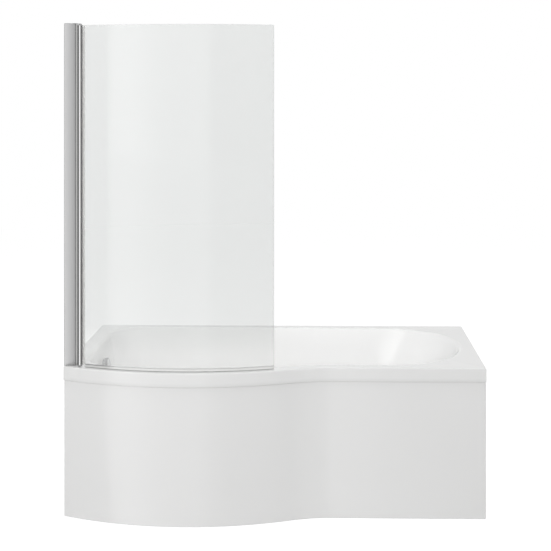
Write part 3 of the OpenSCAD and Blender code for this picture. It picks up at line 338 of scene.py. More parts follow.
def add_node(tree, kind, inputs=None, **settings):
    node = tree.nodes.new(kind)
    for key, value in settings.items():
        setattr(node, key, value)
    for key, value in (inputs or {}).items():
        feed(tree, node.inputs[key], value)
    return node


def math_node(tree, kind, *values):
    return add_node(tree, "ShaderNodeMath", dict(enumerate(values)), operation=kind).outputs[0]


def color_ramp(tree, fac, stops):
    node = add_node(tree, "ShaderNodeValToRGB", {"Fac": fac})
    while len(node.color_ramp.elements) < len(stops):
        node.color_ramp.elements.new(0.5)
    for element, (place, color) in zip(node.color_ramp.elements, stops):
        element.position = place
        element.color = (*color, 1.0)
    return node.outputs["Color"]


def grey(tone):
    return (tone, tone, tone)


class Finish:
    """A node material with a Principled shader, whose patterns read Object coordinates."""

    def __init__(self, name, color, roughness, metallic=0.0, **sockets):
        self.mat = bpy.data.materials.new(name)
        self.mat.use_nodes = True
        self.tree = self.mat.node_tree
        self.color = color
        self.paint(**{"Base Color": (*color, 1.0), "Roughness": roughness, "Metallic": metallic, **sockets})
        self.coords = self.add("ShaderNodeTexCoord").outputs["Object"]

    def paint(self, **sockets):
        """Gives the shader's sockets values or links."""
        shader = self.tree.nodes["Principled BSDF"]
        for key, value in sockets.items():
            feed(self.tree, shader.inputs[key], value)

    def color_from(self, color):
        self.paint(**{"Base Color": color})

    def roughness_from(self, fac, low, high):
        self.paint(Roughness=self.spread(fac, low, high))

    def add(self, kind, inputs=None, **settings):
        return add_node(self.tree, kind, inputs, **settings)

    def stretched(self, scale, turn=(0.0, 0.0, 0.0)):
        inputs = {"Vector": self.coords, "Scale": scale, "Rotation": turn}
        return self.add("ShaderNodeMapping", inputs).outputs["Vector"]

    def noise(self, scale, detail=3.0, rough=0.5, vector=None, distortion=0.0):
        return self.add("ShaderNodeTexNoise", {
            "Vector": vector or self.coords, "Scale": scale, "Detail": detail,
            "Roughness": rough, "Distortion": distortion,
        }).outputs["Fac"]

    def cells(self, scale, vector=None, output="Distance"):
        inputs = {"Vector": vector or self.coords, "Scale": scale}
        return self.add("ShaderNodeTexVoronoi", inputs, feature="F1").outputs[output]

    def ramp(self, fac, stops):
        return color_ramp(self.tree, fac, stops)

    def spread(self, fac, low, high):
        """Turns 0 to 1 into low to high."""
        inputs = {"Value": fac, "To Min": low, "To Max": high}
        return self.add("ShaderNodeMapRange", inputs).outputs["Result"]

    def along(self, axis, low, high):
        """0 to 1 between two places on an axis."""
        place = self.add("ShaderNodeSeparateXYZ", {"Vector": self.coords}).outputs[axis]
        inputs = {"Value": place, "From Min": low, "From Max": high}
        return self.add("ShaderNodeMapRange", inputs).outputs["Result"]

    def blend(self, fac, a, b, kind="MIX"):
        node = self.add("ShaderNodeMix", {"Factor": fac}, data_type="RGBA", blend_type=kind)
        for socket, value in ((node.inputs[6], a), (node.inputs[7], b)):
            feed(self.tree, socket, value if isinstance(value, bpy.types.NodeSocket) else (*value, 1.0))
        return node.outputs[2]

    def varied(self, fac, amount):
        """The finish's colour, up to amount darker or lighter with fac."""
        dark = tuple(c * (1 - amount) for c in self.color)
        light = tuple(min(1.0, c * (1 + amount)) for c in self.color)
        return self.ramp(fac, [(0.3, dark), (0.7, light)])

    def bump(self, height, strength, distance):
        """Adds the relief and returns the finished material."""
        node = self.add("ShaderNodeBump", {"Height": height, "Strength": strength, "Distance": distance})
        self.paint(Normal=node.outputs["Normal"])
        return self.mat


# Finishes

def acrylic_finish(name, color, roughness=0.14, painted_top_shade=0.0):
    """Glossy white acrylic, with painted shade that makes it darker by a share near the rim than near the
    floor.
    """
    f = Finish(name, color, roughness, **{"Coat Weight": 0.35, "Coat Roughness": 0.04})
    tint = f.varied(f.noise(2.2, 2.0), 0.006)
    shaded = f.blend(1.0, tint, grey(1 - painted_top_shade), "MULTIPLY")
    f.color_from(f.blend(f.along("Z", 0.05, 0.55), tint, shaded))
    f.roughness_from(f.noise(9.0, 4.0), roughness - 0.03, roughness + 0.04)
    return f.bump(f.noise(26.0, 2.0), 0.06, 0.0006)


def backing_finish():
    """Chopped strands in resin."""
    f = Finish("fibreglass_backing", (0.70, 0.67, 0.58), 0.55)
    strands = f.cells(95.0, f.stretched((1.0, 0.16, 1.0), (0.2, 0.1, 0.6)))
    crossed = f.cells(95.0, f.stretched((0.16, 1.0, 1.0), (0.1, 0.4, -0.3)))
    both = math_node(f.tree, "MULTIPLY", strands, crossed)
    f.color_from(f.ramp(both, [(0.02, (0.80, 0.78, 0.70)), (0.3, (0.60, 0.56, 0.46))]))
    f.roughness_from(f.noise(30.0), 0.4, 0.7)
    return f.bump(both, 0.5, 0.0015)


def board_finish():
    """Chipboard: each flake has its own brown."""
    f = Finish("chipboard", (0.58, 0.44, 0.29), 0.75)
    flakes = f.add("ShaderNodeRGBToBW", {"Color": f.cells(160.0, output="Color")}).outputs["Val"]
    browns = [(0.1, (0.36, 0.25, 0.14)), (0.5, (0.58, 0.44, 0.28)), (0.9, (0.74, 0.61, 0.42))]
    f.color_from(f.ramp(flakes, browns))
    return f.bump(flakes, 0.25, 0.0006)


def timber_finish(name, scale):
    """Planed softwood whose grain runs along the axis with the smallest scale."""
    f = Finish(name, (0.70, 0.53, 0.33), 0.6)
    grain = f.noise(9.0, 5.0, 0.6, f.stretched(scale), 1.2)
    fine = f.noise(60.0, 3.0, 0.6, f.stretched(scale))
    browns = [(0.3, (0.52, 0.36, 0.19)), (0.5, (0.68, 0.51, 0.31)), (0.7, (0.78, 0.63, 0.42))]
    f.color_from(f.ramp(grain, browns))
    f.roughness_from(fine, 0.5, 0.75)
    return f.bump(fine, 0.3, 0.0005)


def steel_finish(name, color, roughness):
    """Zinc-plated steel with a faint spangle."""
    f = Finish(name, color, roughness, 1.0)
    f.color_from(f.varied(f.noise(55.0, 4.0, 0.6), 0.08))
    f.roughness_from(f.noise(24.0, 5.0), roughness - 0.08, roughness + 0.12)
    return f.bump(f.noise(300.0, 2.0), 0.08, 0.0002)


def chrome_finish(name, tone):
    f = Finish(name, (tone, 1.012 * tone, 1.02 * tone), 0.06, 1.0)
    f.roughness_from(f.noise(35.0, 4.0), 0.04, 0.1)
    return f.bump(f.noise(60.0), 0.02, 0.0002)


def plastic_finish(name, color, roughness, grain=220.0, strength=0.15):
    f = Finish(name, color, roughness)
    f.color_from(f.varied(f.noise(8.0, 3.0), 0.02))
    f.roughness_from(f.noise(40.0, 3.0), roughness - 0.06, roughness + 0.08)
    return f.bump(f.noise(grain, 2.0), strength, 0.0003)


def aluminium_finish(name, color, roughness=0.3):
    """Aluminium with fine lines along its length, as it leaves the die."""
    f = Finish(name, color, roughness, 1.0)
    lines = f.noise(1.0, 2.0, 0.5, f.stretched((900.0, 900.0, 14.0)))
    f.color_from(f.varied(lines, 0.04))
    f.roughness_from(lines, roughness - 0.05, roughness + 0.06)
    return f.bump(lines, 0.05, 0.0002)


def glass_finish():
    """Toughened glass with the pale bloom of its coating, and painted light at the foot: its tint is
    clearer there, so that the basin behind looks paler.
    """
    bloom, clear = (0.825, 0.835, 0.83), (0.93, 0.935, 0.93)
    f = Finish("clear_glass", bloom, 0.0, **{"Transmission Weight": 0.78, "IOR": 1.5})
    # Painted light: the tint clears towards the foot, so that more light reaches the basin behind.
    f.color_from(f.ramp(f.along("Z", 0.67, 0.775), [(0.0, clear), (1.0, bloom)]))
    return f.bump(f.noise(3.0, 1.0), 0.01, 0.0004)


def glass_edge_finish():
    """The ground free edge, where the glass looks through its own width."""
    f = Finish("glass_edge", (0.40, 0.45, 0.43), 0.2, **{"Transmission Weight": 0.2, "IOR": 1.5})
    f.roughness_from(f.noise(90.0), 0.14, 0.26)
    return f.bump(f.noise(300.0, 1.0), 0.04, 0.0002)


def seal_finish():
    """Soft clear vinyl, with painted shade: darker at its lip and its blade, most of all beside the rail.
    """
    f = Finish("seal_vinyl", (0.62, 0.62, 0.61), 0.3, **{"Transmission Weight": 0.25, "IOR": 1.45})
    height = f.along("Z", CHANNEL_Z, SEAL_TOP)

    def tones(foot, blade, body, lip, top):
        colors = grey(foot), grey(blade), body, body, grey(lip), grey(top)
        return f.ramp(height, list(zip((0.0, 0.2, 0.34, 0.74, 0.84, 1.0), colors)))

    # Painted shade: dark lines at the lip and the blade, and a darker body beside the rail.
    shade_near_rail = tones(0.22, 0.26, (0.66, 0.66, 0.65), 0.30, 0.26)
    beyond = tones(0.30, 0.34, (0.84, 0.84, 0.83), 0.60, 0.54)
    f.color_from(f.blend(f.along("X", -0.67, -0.63), shade_near_rail, beyond))
    f.roughness_from(f.noise(12.0), 0.25, 0.36)
    return f.bump(f.noise(40.0, 1.0), 0.03, 0.0002)


def gasket_finish():
    """Clear vinyl, with painted shade that darkens it in the mouth of the rail."""
    clear, mouth = (0.97, 0.97, 0.955), (0.56, 0.56, 0.555)
    f = Finish("clear_gasket", clear, 0.3, **{"Transmission Weight": 0.72, "IOR": 1.45})
    # Painted shade in the mouth of the rail.
    f.color_from(f.ramp(f.along("X", -0.7715, -0.768), [(0.0, mouth), (1.0, clear)]))
    f.roughness_from(f.noise(12.0), 0.3, 0.4)
    return f.bump(f.noise(40.0, 1.0), 0.03, 0.0002)


ACRYLIC = acrylic_finish("white_acrylic", (0.925, 0.925, 0.92))
# A lighter copy of the white acrylic for the basin: painted light.
LIT_BASIN_ACRYLIC = acrylic_finish("white_basin_painted_light", (0.948, 0.948, 0.943))
# A darker copy of the white acrylic for the turned-down edge: painted shade.
SHADED_EDGE_ACRYLIC = acrylic_finish("white_edge_painted_shade", (0.845, 0.845, 0.84))
# The panel's finish carries painted shade, darker towards the rim.
PANEL = acrylic_finish("white_panel", (0.86, 0.86, 0.855), 0.15, painted_top_shade=0.05)
BACKING = backing_finish()
BOARD = board_finish()
TIMBER_X = timber_finish("timber_along", (1.0, 9.0, 9.0))
TIMBER_Y = timber_finish("timber_across", (9.0, 1.0, 9.0))
ZINC = steel_finish("zinc_plate", (0.62, 0.63, 0.65), 0.38)
SCREWS = steel_finish("bright_zinc", (0.70, 0.70, 0.72), 0.28)
FOOT = plastic_finish("black_foot_plastic", (0.035, 0.035, 0.04), 0.5)
CHROME = chrome_finish("polished_chrome", 0.52)
# A darker chrome for painted shade on the knob's rim.
SHADED_CHROME = chrome_finish("chrome_painted_shade", 0.16)
WASTE_WHITE = plastic_finish("white_waste_plastic", (0.74, 0.74, 0.73), 0.4)
TRAP_WHITE = plastic_finish("white_trap_plastic", (0.80, 0.80, 0.78), 0.35)
HOSE_GREY = plastic_finish("grey_hose_plastic", (0.30, 0.31, 0.32), 0.45)
JACKET = plastic_finish("cable_jacket", (0.035, 0.035, 0.04), 0.4)
# Near-black pile for the strip that is painted shade in the post's gap.
SHADE_PILE = plastic_finish("grey_pile", grey(0.10), 0.9, 900.0, 0.6)
RUBBER = plastic_finish("black_rubber", (0.02, 0.02, 0.022), 0.7, 120.0, 0.3)
ALUMINIUM = aluminium_finish("satin_aluminium", (0.45, 0.45, 0.452))
SHADE_ALUMINIUM = aluminium_finish("shade_aluminium", grey(0.10))
# A bright band for the rail: painted highlight.
HIGHLIGHT_ALUMINIUM = aluminium_finish("painted_highlight_band", grey(0.95), 0.12)
RAIL_ALUMINIUM = aluminium_finish("rail_aluminium", grey(0.36))
# A darker copy of the satin aluminium for the post: painted shade.
SHADED_POST_ALUMINIUM = aluminium_finish("post_aluminium_painted_shade", (0.325, 0.325, 0.322), 0.34)
CAP_GREY = plastic_finish("grey_cap_plastic", (0.42, 0.42, 0.43), 0.4)
GLASS = glass_finish()
GLASS_EDGE = glass_edge_finish()
VINYL = seal_finish()
GASKET = gasket_finish()

SLOT_FINISH = {
    "acrylic": ACRYLIC, "panel": PANEL, "board": BOARD, "timber": TIMBER_X, "zinc_steel": ZINC,
    "fasteners": SCREWS, "foot_plastic": FOOT, "chrome": CHROME, "waste_plastic": WASTE_WHITE,
    "trap_plastic": TRAP_WHITE, "hose_plastic": HOSE_GREY, "cable_jacket": JACKET,
    "gasket_rubber": RUBBER, "aluminium": ALUMINIUM, "cap_plastic": CAP_GREY, "glass": GLASS,
    "seal_vinyl": VINYL,
}
# Nodes whose finish differs from the rest of their slot; the post's darker aluminium is painted shade
NODE_FINISH = {"end_battens": TIMBER_Y, "hinge_post": SHADED_POST_ALUMINIUM, "rail_gasket": GASKET}

BODY_OF = {node: body for body, names in frame["record"]["behaviour"]["bodies"].items() for node in names}
SLOT_OF = {row["node"]: row["material_slot"] for row in subparts}


def finish_of(node):
    return NODE_FINISH.get(node, SLOT_FINISH[SLOT_OF[node]])


for row in subparts:
    slots = nodes[row["node"]].data.materials
    slots.clear()
    slots.append(finish_of(row["node"]))


# The shell: basin, rim, turned-down edge and the backed underside

# Heights of the rows down the turned-down edge
EDGE_ROWS = (0.585, 0.568, LIP_Z + 0.002)


def shell():
    inside = basin_rings(0.0)
    corner = (RIM_ROUND, RIM_Z), (0.0, RIM_Z), (0.0, RIM_Z - RIM_ROUND)
    rim = [outer_ring(*bezier(*corner, k / 6)) for k in range(7)] + [outer_ring(0.0, z) for z in EDGE_ROWS]
    lip = [outer_ring(0.0006, LIP_Z + 0.0006), outer_ring(0.002, LIP_Z)]
    under = [outer_ring(0.0044, LIP_Z), outer_ring(SHELL_T, LIP_Z + 0.0006)]
    under += [outer_ring(SHELL_T, z) for z in (EDGE_ROWS[1] + 0.002, RIM_Z - SHELL_T)]
    bm = bmesh.new()
    bands = loft(bm, inside + rim + lip + under + basin_rings(SHELL_T)[::-1], joined=True)

    finishes = [ACRYLIC, BACKING, SHADED_EDGE_ACRYLIC, LIT_BASIN_ACRYLIC]
    edge_start, backing_start = len(inside) + 2, len(inside) + len(rim) + len(lip)
    for k, band in enumerate(bands):
        if k < len(inside) - 1 or k == len(bands) - 1:
            # The basin takes the lighter copy of the acrylic, which is painted light.
            finish = LIT_BASIN_ACRYLIC
        elif k < edge_start:
            finish = ACRYLIC
        else:
            # The turned-down edge takes the darker copy of the acrylic, which is painted shade.
            finish = SHADED_EDGE_ACRYLIC if k < backing_start else BACKING
        for face in band:
            face.material_index = finishes.index(finish)
    return piece("shell", bm, finishes, "bath", ["bath_shell"], "acrylic", 40.0)


# The front panel: a thin sheet with rolled folds at the floor and under the rim

PANEL_IN, PANEL_T, PANEL_FOLD = 0.006, 0.0035, 0.024
PANEL_Z0, PANEL_Z1 = 0.001, 0.5837
PANEL_END, PANEL_NOTCH = X_RIGHT - 0.0015, X_RIGHT - 0.0065
BEND_OUT, BEND_IN = 0.003, 0.001
PANEL_STEPS, END_STEPS, END_TURN = 240, 5, 75


def panel_section(top, folded):
    """Section of the sheet as distances in from the front edge and heights."""
    p, t, f, r, q = PANEL_IN, PANEL_T, PANEL_FOLD, BEND_OUT, BEND_IN
    low = bend(p + r, PANEL_Z0 + r, r, 270, 180)
    low_in = bend(p + t + q, PANEL_Z0 + t + q, q, 180, 270)
    rest = [(p + f, PANEL_Z0 + t), (p + f, PANEL_Z0)]
    if not folded:
        return low + [(p, top), (p + t, top)] + low_in + rest
    high = bend(p + r, top - r, r, 180, 90)
    high_in = bend(p + t + q, top - t - q, q, 90, 180)
    return low + high + [(p + f, top), (p + f, top - t)] + high_in + low_in + rest


def front_panel():
    """The sheet between its notches, and an end that turns inwards at each side below the rim's edge."""
    section = panel_section(PANEL_Z1, True)
    xs = [mix(-PANEL_NOTCH, PANEL_NOTCH, k / PANEL_STEPS) for k in range(PANEL_STEPS + 1)]
    bm = bmesh.new()
    closed_loft(bm, [[(x, front_at(x, d), z) for d, z in section] for x in xs])
    low = panel_section(LIP_Z - 0.001, False)
    width = PANEL_END - PANEL_NOTCH
    for side in (-1, 1):
        rings = []
        for a in (math.radians(END_TURN * k / END_STEPS) for k in range(END_STEPS + 1)):
            x, back = side * (PANEL_NOTCH + width * math.sin(a)), width * (1 - math.cos(a))
            rings.append([(x, front_at(side * PANEL_NOTCH, d + back), z) for d, z in low])
        closed_loft(bm, rings)
    return piece("panel", bm, [PANEL], "bath", ["front_panel"], "panel", 35.0)


# The curved glass and the seal at its foot

def swept(bm, section, x0, x1, n, tip=0.0):
    """Section of radii and heights swept along the bow, with its two ends eased by tip."""
    radii = [r for r, z in section]
    middle = (min(radii) + max(radii)) / 2
    a0, a1 = (math.asin((x - BOW_C[0]) / GLASS_MID) for x in (x0, x1))
    stops = [(mix(a0, a1, k / n), 0.0) for k in range(n + 1)]
    if tip:
        last = stops[-1][0]
        stops[:1] = [(a0, tip), (a0 + tip / GLASS_MID, 0.0)]
        stops[-1:] = [(last - tip / GLASS_MID, 0.0), (last, tip)]

    def ring(a, shrink):
        eased = [(r + math.copysign(shrink, middle - r), z) for r, z in section]
        return [(BOW_C[0] + r * math.sin(a), BOW_C[1] - r * math.cos(a), z) for r, z in eased]

    closed_loft(bm, [ring(a, shrink) for a, shrink in stops])


def clear_piece(*given):
    """A piece that throws no shadow, as clear glass and vinyl hardly do."""
    obj = piece(*given)
    obj.visible_shadow = False
    obj.visible_diffuse = False
    return obj


def glass_sheet():
    b = GLASS_BEVEL
    section = [
        (GLASS_IN, GLASS_Z0 + b), (GLASS_IN + b, GLASS_Z0),
        (GLASS_OUT - b, GLASS_Z0), (GLASS_OUT, GLASS_Z0 + b),
        (GLASS_OUT, GLASS_Z1 - b), (GLASS_OUT - b, GLASS_Z1),
        (GLASS_IN + b, GLASS_Z1), (GLASS_IN, GLASS_Z1 - b),
    ]
    bm = bmesh.new()
    swept(bm, section, GLASS_X0, GLASS_X1, 128, b)
    for face in bm.faces:
        face.material_index = 1 if face.calc_center_median().x > GLASS_X1 - b else 0
    return clear_piece("glass_sheet", bm, [GLASS, GLASS_EDGE], "screen", ["glass_panel"], "glass", 25.0)


def bottom_seal():
    """Channel on the glass with rounded corners and a blade that reaches the rim."""
    w, gap, r = SEAL_WALL, 0.0002, 0.0015
    top, low, tip, shoulder = SEAL_TOP, GLASS_Z0 - 0.0024, 0.6073, 0.0006
    outer = [(GLASS_OUT + 2 * gap, top), (GLASS_OUT + w * 0.7, top), (GLASS_OUT + w, top - 0.0008)]
    outer += bend(GLASS_OUT + w - r, low + r, r, 0, -90)
    blade = [
        (GLASS_MID + w / 2, low), (GLASS_MID + w / 2, tip + shoulder), (GLASS_MID + w / 4, tip),
        (GLASS_MID - w / 4, tip), (GLASS_MID - w / 2, tip + shoulder), (GLASS_MID - w / 2, low),
    ]
    inner = bend(GLASS_IN - w + r, low + r, r, -90, -180)
    inner += [(GLASS_IN - w, top - 0.0008), (GLASS_IN - w * 0.7, top), (GLASS_IN - 2 * gap, top)]
    slot = [
        (GLASS_IN - gap, top - shoulder), (GLASS_IN - gap, GLASS_Z0 - gap),
        (GLASS_OUT + gap, GLASS_Z0 - gap), (GLASS_OUT + gap, top - shoulder),
    ]
    bm = bmesh.new()
    swept(bm, outer + blade + inner + slot, SEAL_X0, GLASS_X1, 96)
    return clear_piece("glass_seal", bm, [VINYL], "screen", ["bottom_seal"], "seal_vinyl", 35.0)


# The overflow's knob and the plug

AT_OVERFLOW = Matrix.Translation(OVERFLOW) @ Matrix.Rotation(math.pi / 2 - WALL_A, 4, "Y")
KNOB_R, KNOB_T, KNOB_Z = 0.035, 0.014, 0.008
STEM_R, PLUG_R = 0.004, 0.029
LEVER_R, LEVER_T, LEVER_Z = 0.017, 0.005, -0.030908
PLUG_Z, STEM_FOOT = FLOOR_Z + 0.0032, 0.158


def overflow_knob():
    """Dished knob with a rolled dark rim of painted shade, its shaft and the lever disc behind the wall."""
    edge, front = KNOB_T / 3, KNOB_Z + KNOB_T
    rim = bend(KNOB_R - edge, front - edge, edge, -62, 90, 10)
    dish = [(0.0285, 0.0003), (0.0265, 0.0009), (0.02, 0.0012), (0.01, 0.0008), (0.0, 0.0006)]
    face = [(r, front - deep) for r, deep in dish]
    back = [(0.0, KNOB_Z), (KNOB_R - 0.0016, KNOB_Z), (KNOB_R - 0.001, KNOB_Z + 0.0006)]
    bm = bmesh.new()
    turned(bm, back + rim + face, AT_OVERFLOW, 72)
    centre, axis = AT_OVERFLOW.to_translation(), AT_OVERFLOW.to_3x3() @ Vector((0.0, 0.0, 1.0))
    # The rim's faces take the darker chrome: painted shade.
    for f in bm.faces:
        away = f.calc_center_median() - centre
        away -= away.project(axis)
        f.material_index = 1 if away.length > KNOB_R - 1.6 * edge else 0
    r, z0, z1 = LEVER_R, LEVER_Z, LEVER_Z + LEVER_T
    lever = [(0.0, z0), (r - 0.0005, z0), (r, z0 + 0.0005), (r, z1 - 0.0005), (r - 0.0005, z1)]
    turned(bm, lever + [(STEM_R, z1), (STEM_R, KNOB_Z), (0.0, KNOB_Z)], AT_OVERFLOW, 40)
    return piece("knob", bm, [CHROME, SHADED_CHROME], "knob", ["overflow_knob"], "chrome")


def plug():
    """Domed plug on its stem."""
    z = PLUG_Z
    stem = [(0.0, STEM_FOOT), (0.0034, STEM_FOOT), (STEM_R, STEM_FOOT + 0.0006), (STEM_R, z)]
    edge = [(0.027, z), (0.0286, z + 0.0006), (PLUG_R, z + 0.0012)]
    turns = [math.radians(9 * k) for k in range(1, 10)]
    dome = [(PLUG_R * math.cos(a), z + mix(0.0012, 0.0038, math.sin(a))) for a in turns]
    bm = bmesh.new()
    turned(bm, stem + edge + dome + [(0.0, z + 0.0038)], Matrix.Translation((*WASTE, 0.0)), 72)
    return piece("plug", bm, [CHROME], "plug", ["popup_plug"], "chrome")


# The overflow hose and the cable beside it

HOSE_X, HOSE_TOP, HOSE_LOW = -0.786506, 0.467, 0.171
HOSE_BEND, HOSE_END, HOSE_GRIP = 0.082, -0.645, 0.018
HOSE_PLAIN, HOSE_BORE = 0.032, 0.0142
HOSE_ROOT, RIB_RISE, RIBS = 0.0165, 0.0023, 56
RIB_FORM = ((0.0, 0.0), (0.16, 0.1), (0.28, 0.75), (0.42, 1.0), (0.58, 1.0), (0.72, 0.75), (0.84, 0.1))


def hose_line():
    """Length of the hose, and a function for the point and heading at a distance along it."""
    cx, cz = HOSE_X + HOSE_BEND, HOSE_LOW + HOSE_BEND
    down = HOSE_TOP - cz
    arc = math.pi / 2 * HOSE_BEND
    along = HOSE_END - cx + HOSE_GRIP

    def at(s):
        if s < down:
            return Vector((HOSE_X, WASTE[1], HOSE_TOP - s)), 0.0
        if s < down + arc:
            a = (s - down) / HOSE_BEND
            return Vector((cx - HOSE_BEND * math.cos(a), WASTE[1], cz - HOSE_BEND * math.sin(a))), a
        return Vector((cx + s - down - arc, WASTE[1], HOSE_LOW)), math.pi / 2

    return down + arc + along, at


def hose():
    """Hose with rounded ribs, plain ends and a plain bore."""
    length, at = hose_line()
    pitch = (length - 2 * HOSE_PLAIN) / RIBS
    cuff, cuff_end, ease = 0.0172, 0.0168, 0.0006

    def ring(s, r):
        p, a = at(s)
        across, side = Vector((math.cos(a), 0, math.sin(a))), Vector((0, 1, 0))
        return [p + r * (math.cos(t) * across + math.sin(t) * side) for t in round_angles(24)]

    rings = [ring(0.0, cuff_end), ring(ease, cuff), ring(HOSE_PLAIN - 0.002, cuff)]
    for i in range(RIBS):
        rings += [ring(HOSE_PLAIN + (i + t) * pitch, HOSE_ROOT + RIB_RISE * rise) for t, rise in RIB_FORM]
    rings += [ring(length - HOSE_PLAIN, HOSE_ROOT), ring(length - HOSE_PLAIN + 0.002, cuff)]
    rings += [ring(length - ease, cuff), ring(length, cuff_end)]
    bore = [ring(length * (1 - k / 40), HOSE_BORE) for k in range(41)]
    bm = bmesh.new()
    loft(bm, rings + bore, joined=True)
    return piece("hose", bm, [HOSE_GREY], "bath", ["overflow_hose"], "hose_plastic", 40.0)


# Points of the cable between its glands: share of the way to the waste, millimetres behind the
# waste's centre line, and share of the way up to the overflow
CABLE_STEPS = [
    (0, 45, 0.81), (0, 47, 0.67), (0, 49, 0.53), (0.01, 53, 0.39), (0.05, 59, 0.26),
    (0.13, 65, 0.16), (0.25, 69, 0.08), (0.42, 69, 0.02), (0.59, 62, 0), (0.72, 49, 0),
]
CABLE_R, CABLE_GLAND, CABLE_LEAD, CABLE_Z = 0.0025, 0.038, 0.012, 0.163
BODY_BEHIND = 0.027777


def cable_points():
    body = Vector((HOSE_X, WASTE[1], OVERFLOW.z - BODY_BEHIND * math.tan(WALL_A)))
    waste = Vector((*WASTE, CABLE_Z))
    slant, turn = math.radians(50), math.radians(130)
    top = Vector((0, math.sin(slant), -math.cos(slant)))
    end = Vector((math.cos(turn), math.sin(turn), 0))
    points = [body + d * top for d in (CABLE_GLAND - CABLE_LEAD, CABLE_GLAND, CABLE_GLAND + CABLE_LEAD)]
    for along, behind, rise in CABLE_STEPS:
        x, z = mix(HOSE_X, WASTE[0], along), mix(CABLE_Z, body.z, rise)
        points.append(Vector((x, WASTE[1] + behind / 1000, z)))
    return points + [waste + d * end for d in (CABLE_GLAND + 0.01, CABLE_GLAND, CABLE_GLAND - 0.008)]


def smooth_line(points, n):
    """A rounded line through the points, with n steps between each two."""
    line = []
    for i in range(len(points) - 1):
        p0, p1, p2 = points[max(i - 1, 0)], points[i], points[i + 1]
        p3 = points[min(i + 2, len(points) - 1)]
        for k in range(n):
            t = k / n
            line.append(0.5 * (2 * p1 + (p2 - p0) * t + (2 * p0 - 5 * p1 + 4 * p2 - p3) * t ** 2
                               + (3 * p1 - p0 - 3 * p2 + p3) * t ** 3))
    return line + [points[-1]]


def tube_along(bm, line, r):
    """Closed round tube along a line."""
    rings = []
    up = Vector((1.0, 0.2, 0.0))
    for i, p in enumerate(line):
        ahead = (line[min(i + 1, len(line) - 1)] - line[max(i - 1, 0)]).normalized()
        side = ahead.cross(up).normalized()
        other = ahead.cross(side)
        rings.append([p + r * (math.cos(t) * side + math.sin(t) * other) for t in round_angles(14)])
    closed_loft(bm, rings)


def cable():
    bm = bmesh.new()
    tube_along(bm, smooth_line(cable_points(), 8), CABLE_R)
    return piece("cable", bm, [JACKET], "bath", ["popup_cable"], "cable_jacket", 40.0)


# The feet: threaded studs and their pads

THREAD_R, THREAD_PITCH = 0.005, 0.0015
TIP_R, TIP_L = 0.0048, 0.01
# Shares of the pitch: the thread's depth, and where its crest starts and ends
THREAD_DEPTH, CREST_START, CREST_END = 0.6, 0.38, 0.55


def threaded(bm, r, z0, z1, pitch, place, around):
    """Rod with a cut thread between two heights."""
    old = set(bm.verts)
    root = r - THREAD_DEPTH * pitch
    turns = int((z1 - z0) / pitch) + 3
    points = []
    for k in range(turns):
        z = z0 - pitch + k * pitch
        points += [(root, 0, z), (r, 0, z + CREST_START * pitch), (r, 0, z + CREST_END * pitch)]
    points.append((root, 0, z0 - pitch + turns * pitch))
    verts, edges = loop_of(bm, points, closed=False)
    bmesh.ops.spin(bm, geom=verts + edges, cent=(0, 0, 0), axis=(0, 0, 1), dvec=(0, 0, pitch / around),
                   angle=2 * math.pi, steps=around, use_merge=False)
    bmesh.ops.remove_doubles(bm, verts=newer(bm, old), dist=1e-5)
    for z, top in ((z0, False), (z1, True)):
        faces = [f for f in bm.faces if f.verts[0] not in old]
        edges = list(dict.fromkeys(e for f in faces for e in f.edges))
        bmesh.ops.bisect_plane(bm, geom=newer(bm, old) + edges + faces, dist=MERGE_GAP, plane_co=(0, 0, z),
                               plane_no=(0, 0, 1), clear_outer=top, clear_inner=not top)
        rim = [e for e in bm.edges if len(e.link_faces) == 1 and e.verts[0] not in old]
        bmesh.ops.holes_fill(bm, edges=rim, sides=0)
    bmesh.ops.transform(bm, matrix=place, verts=newer(bm, old))


def stud(name):
    """Stud with a plain tip in its pad and a thread above it."""
    lo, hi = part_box("stud_" + name)
    place = Matrix.Translation(((lo[0] + hi[0]) / 2, (lo[1] + hi[1]) / 2, 0.0))
    low, thread = lo[2], lo[2] + TIP_L
    bm = bmesh.new()
    turned(bm, [(0.0, low), (TIP_R, low), (TIP_R, thread), (0.0, thread)], place, 20)
    threaded(bm, THREAD_R, thread - 0.001, hi[2], THREAD_PITCH, place, 18)
    return piece("threaded_stud_" + name, bm, [SCREWS], "foot_" + name, ["stud_" + name], "fasteners", 25.0)


def foot_pad(name):
    """Round pad with a socket for its stud."""
    lo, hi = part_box("pad_" + name)
    place = Matrix.Translation(((lo[0] + hi[0]) / 2, (lo[1] + hi[1]) / 2, 0.0))
    profile = [
        (0.0, 0.0), (0.0188, 0.0), (0.02, 0.0012), (0.02, 0.0052), (0.0192, 0.0062), (0.0125, 0.0113),
        (0.0116, 0.012), (0.0062, 0.012), (0.0053, 0.0112), (0.0051, 0.0061), (0.0, 0.0061),
    ]
    bm = bmesh.new()
    turned(bm, profile, place, 48)
    return piece("foot_pad_" + name, bm, [FOOT], "foot_" + name, ["pad_" + name], "foot_plastic")


# Wood screws where the CAD has plain ones

SCREW_R, HEAD_R, HEAD_H, SCREW_PITCH = 0.0022, 0.0042, 0.0024, 0.0016
SCREW_ANGLES = [math.radians(22.5 * k) for k in range(16)]
RECESS_R = (0.0021, 0.0012, 0.0008, 0.0012)


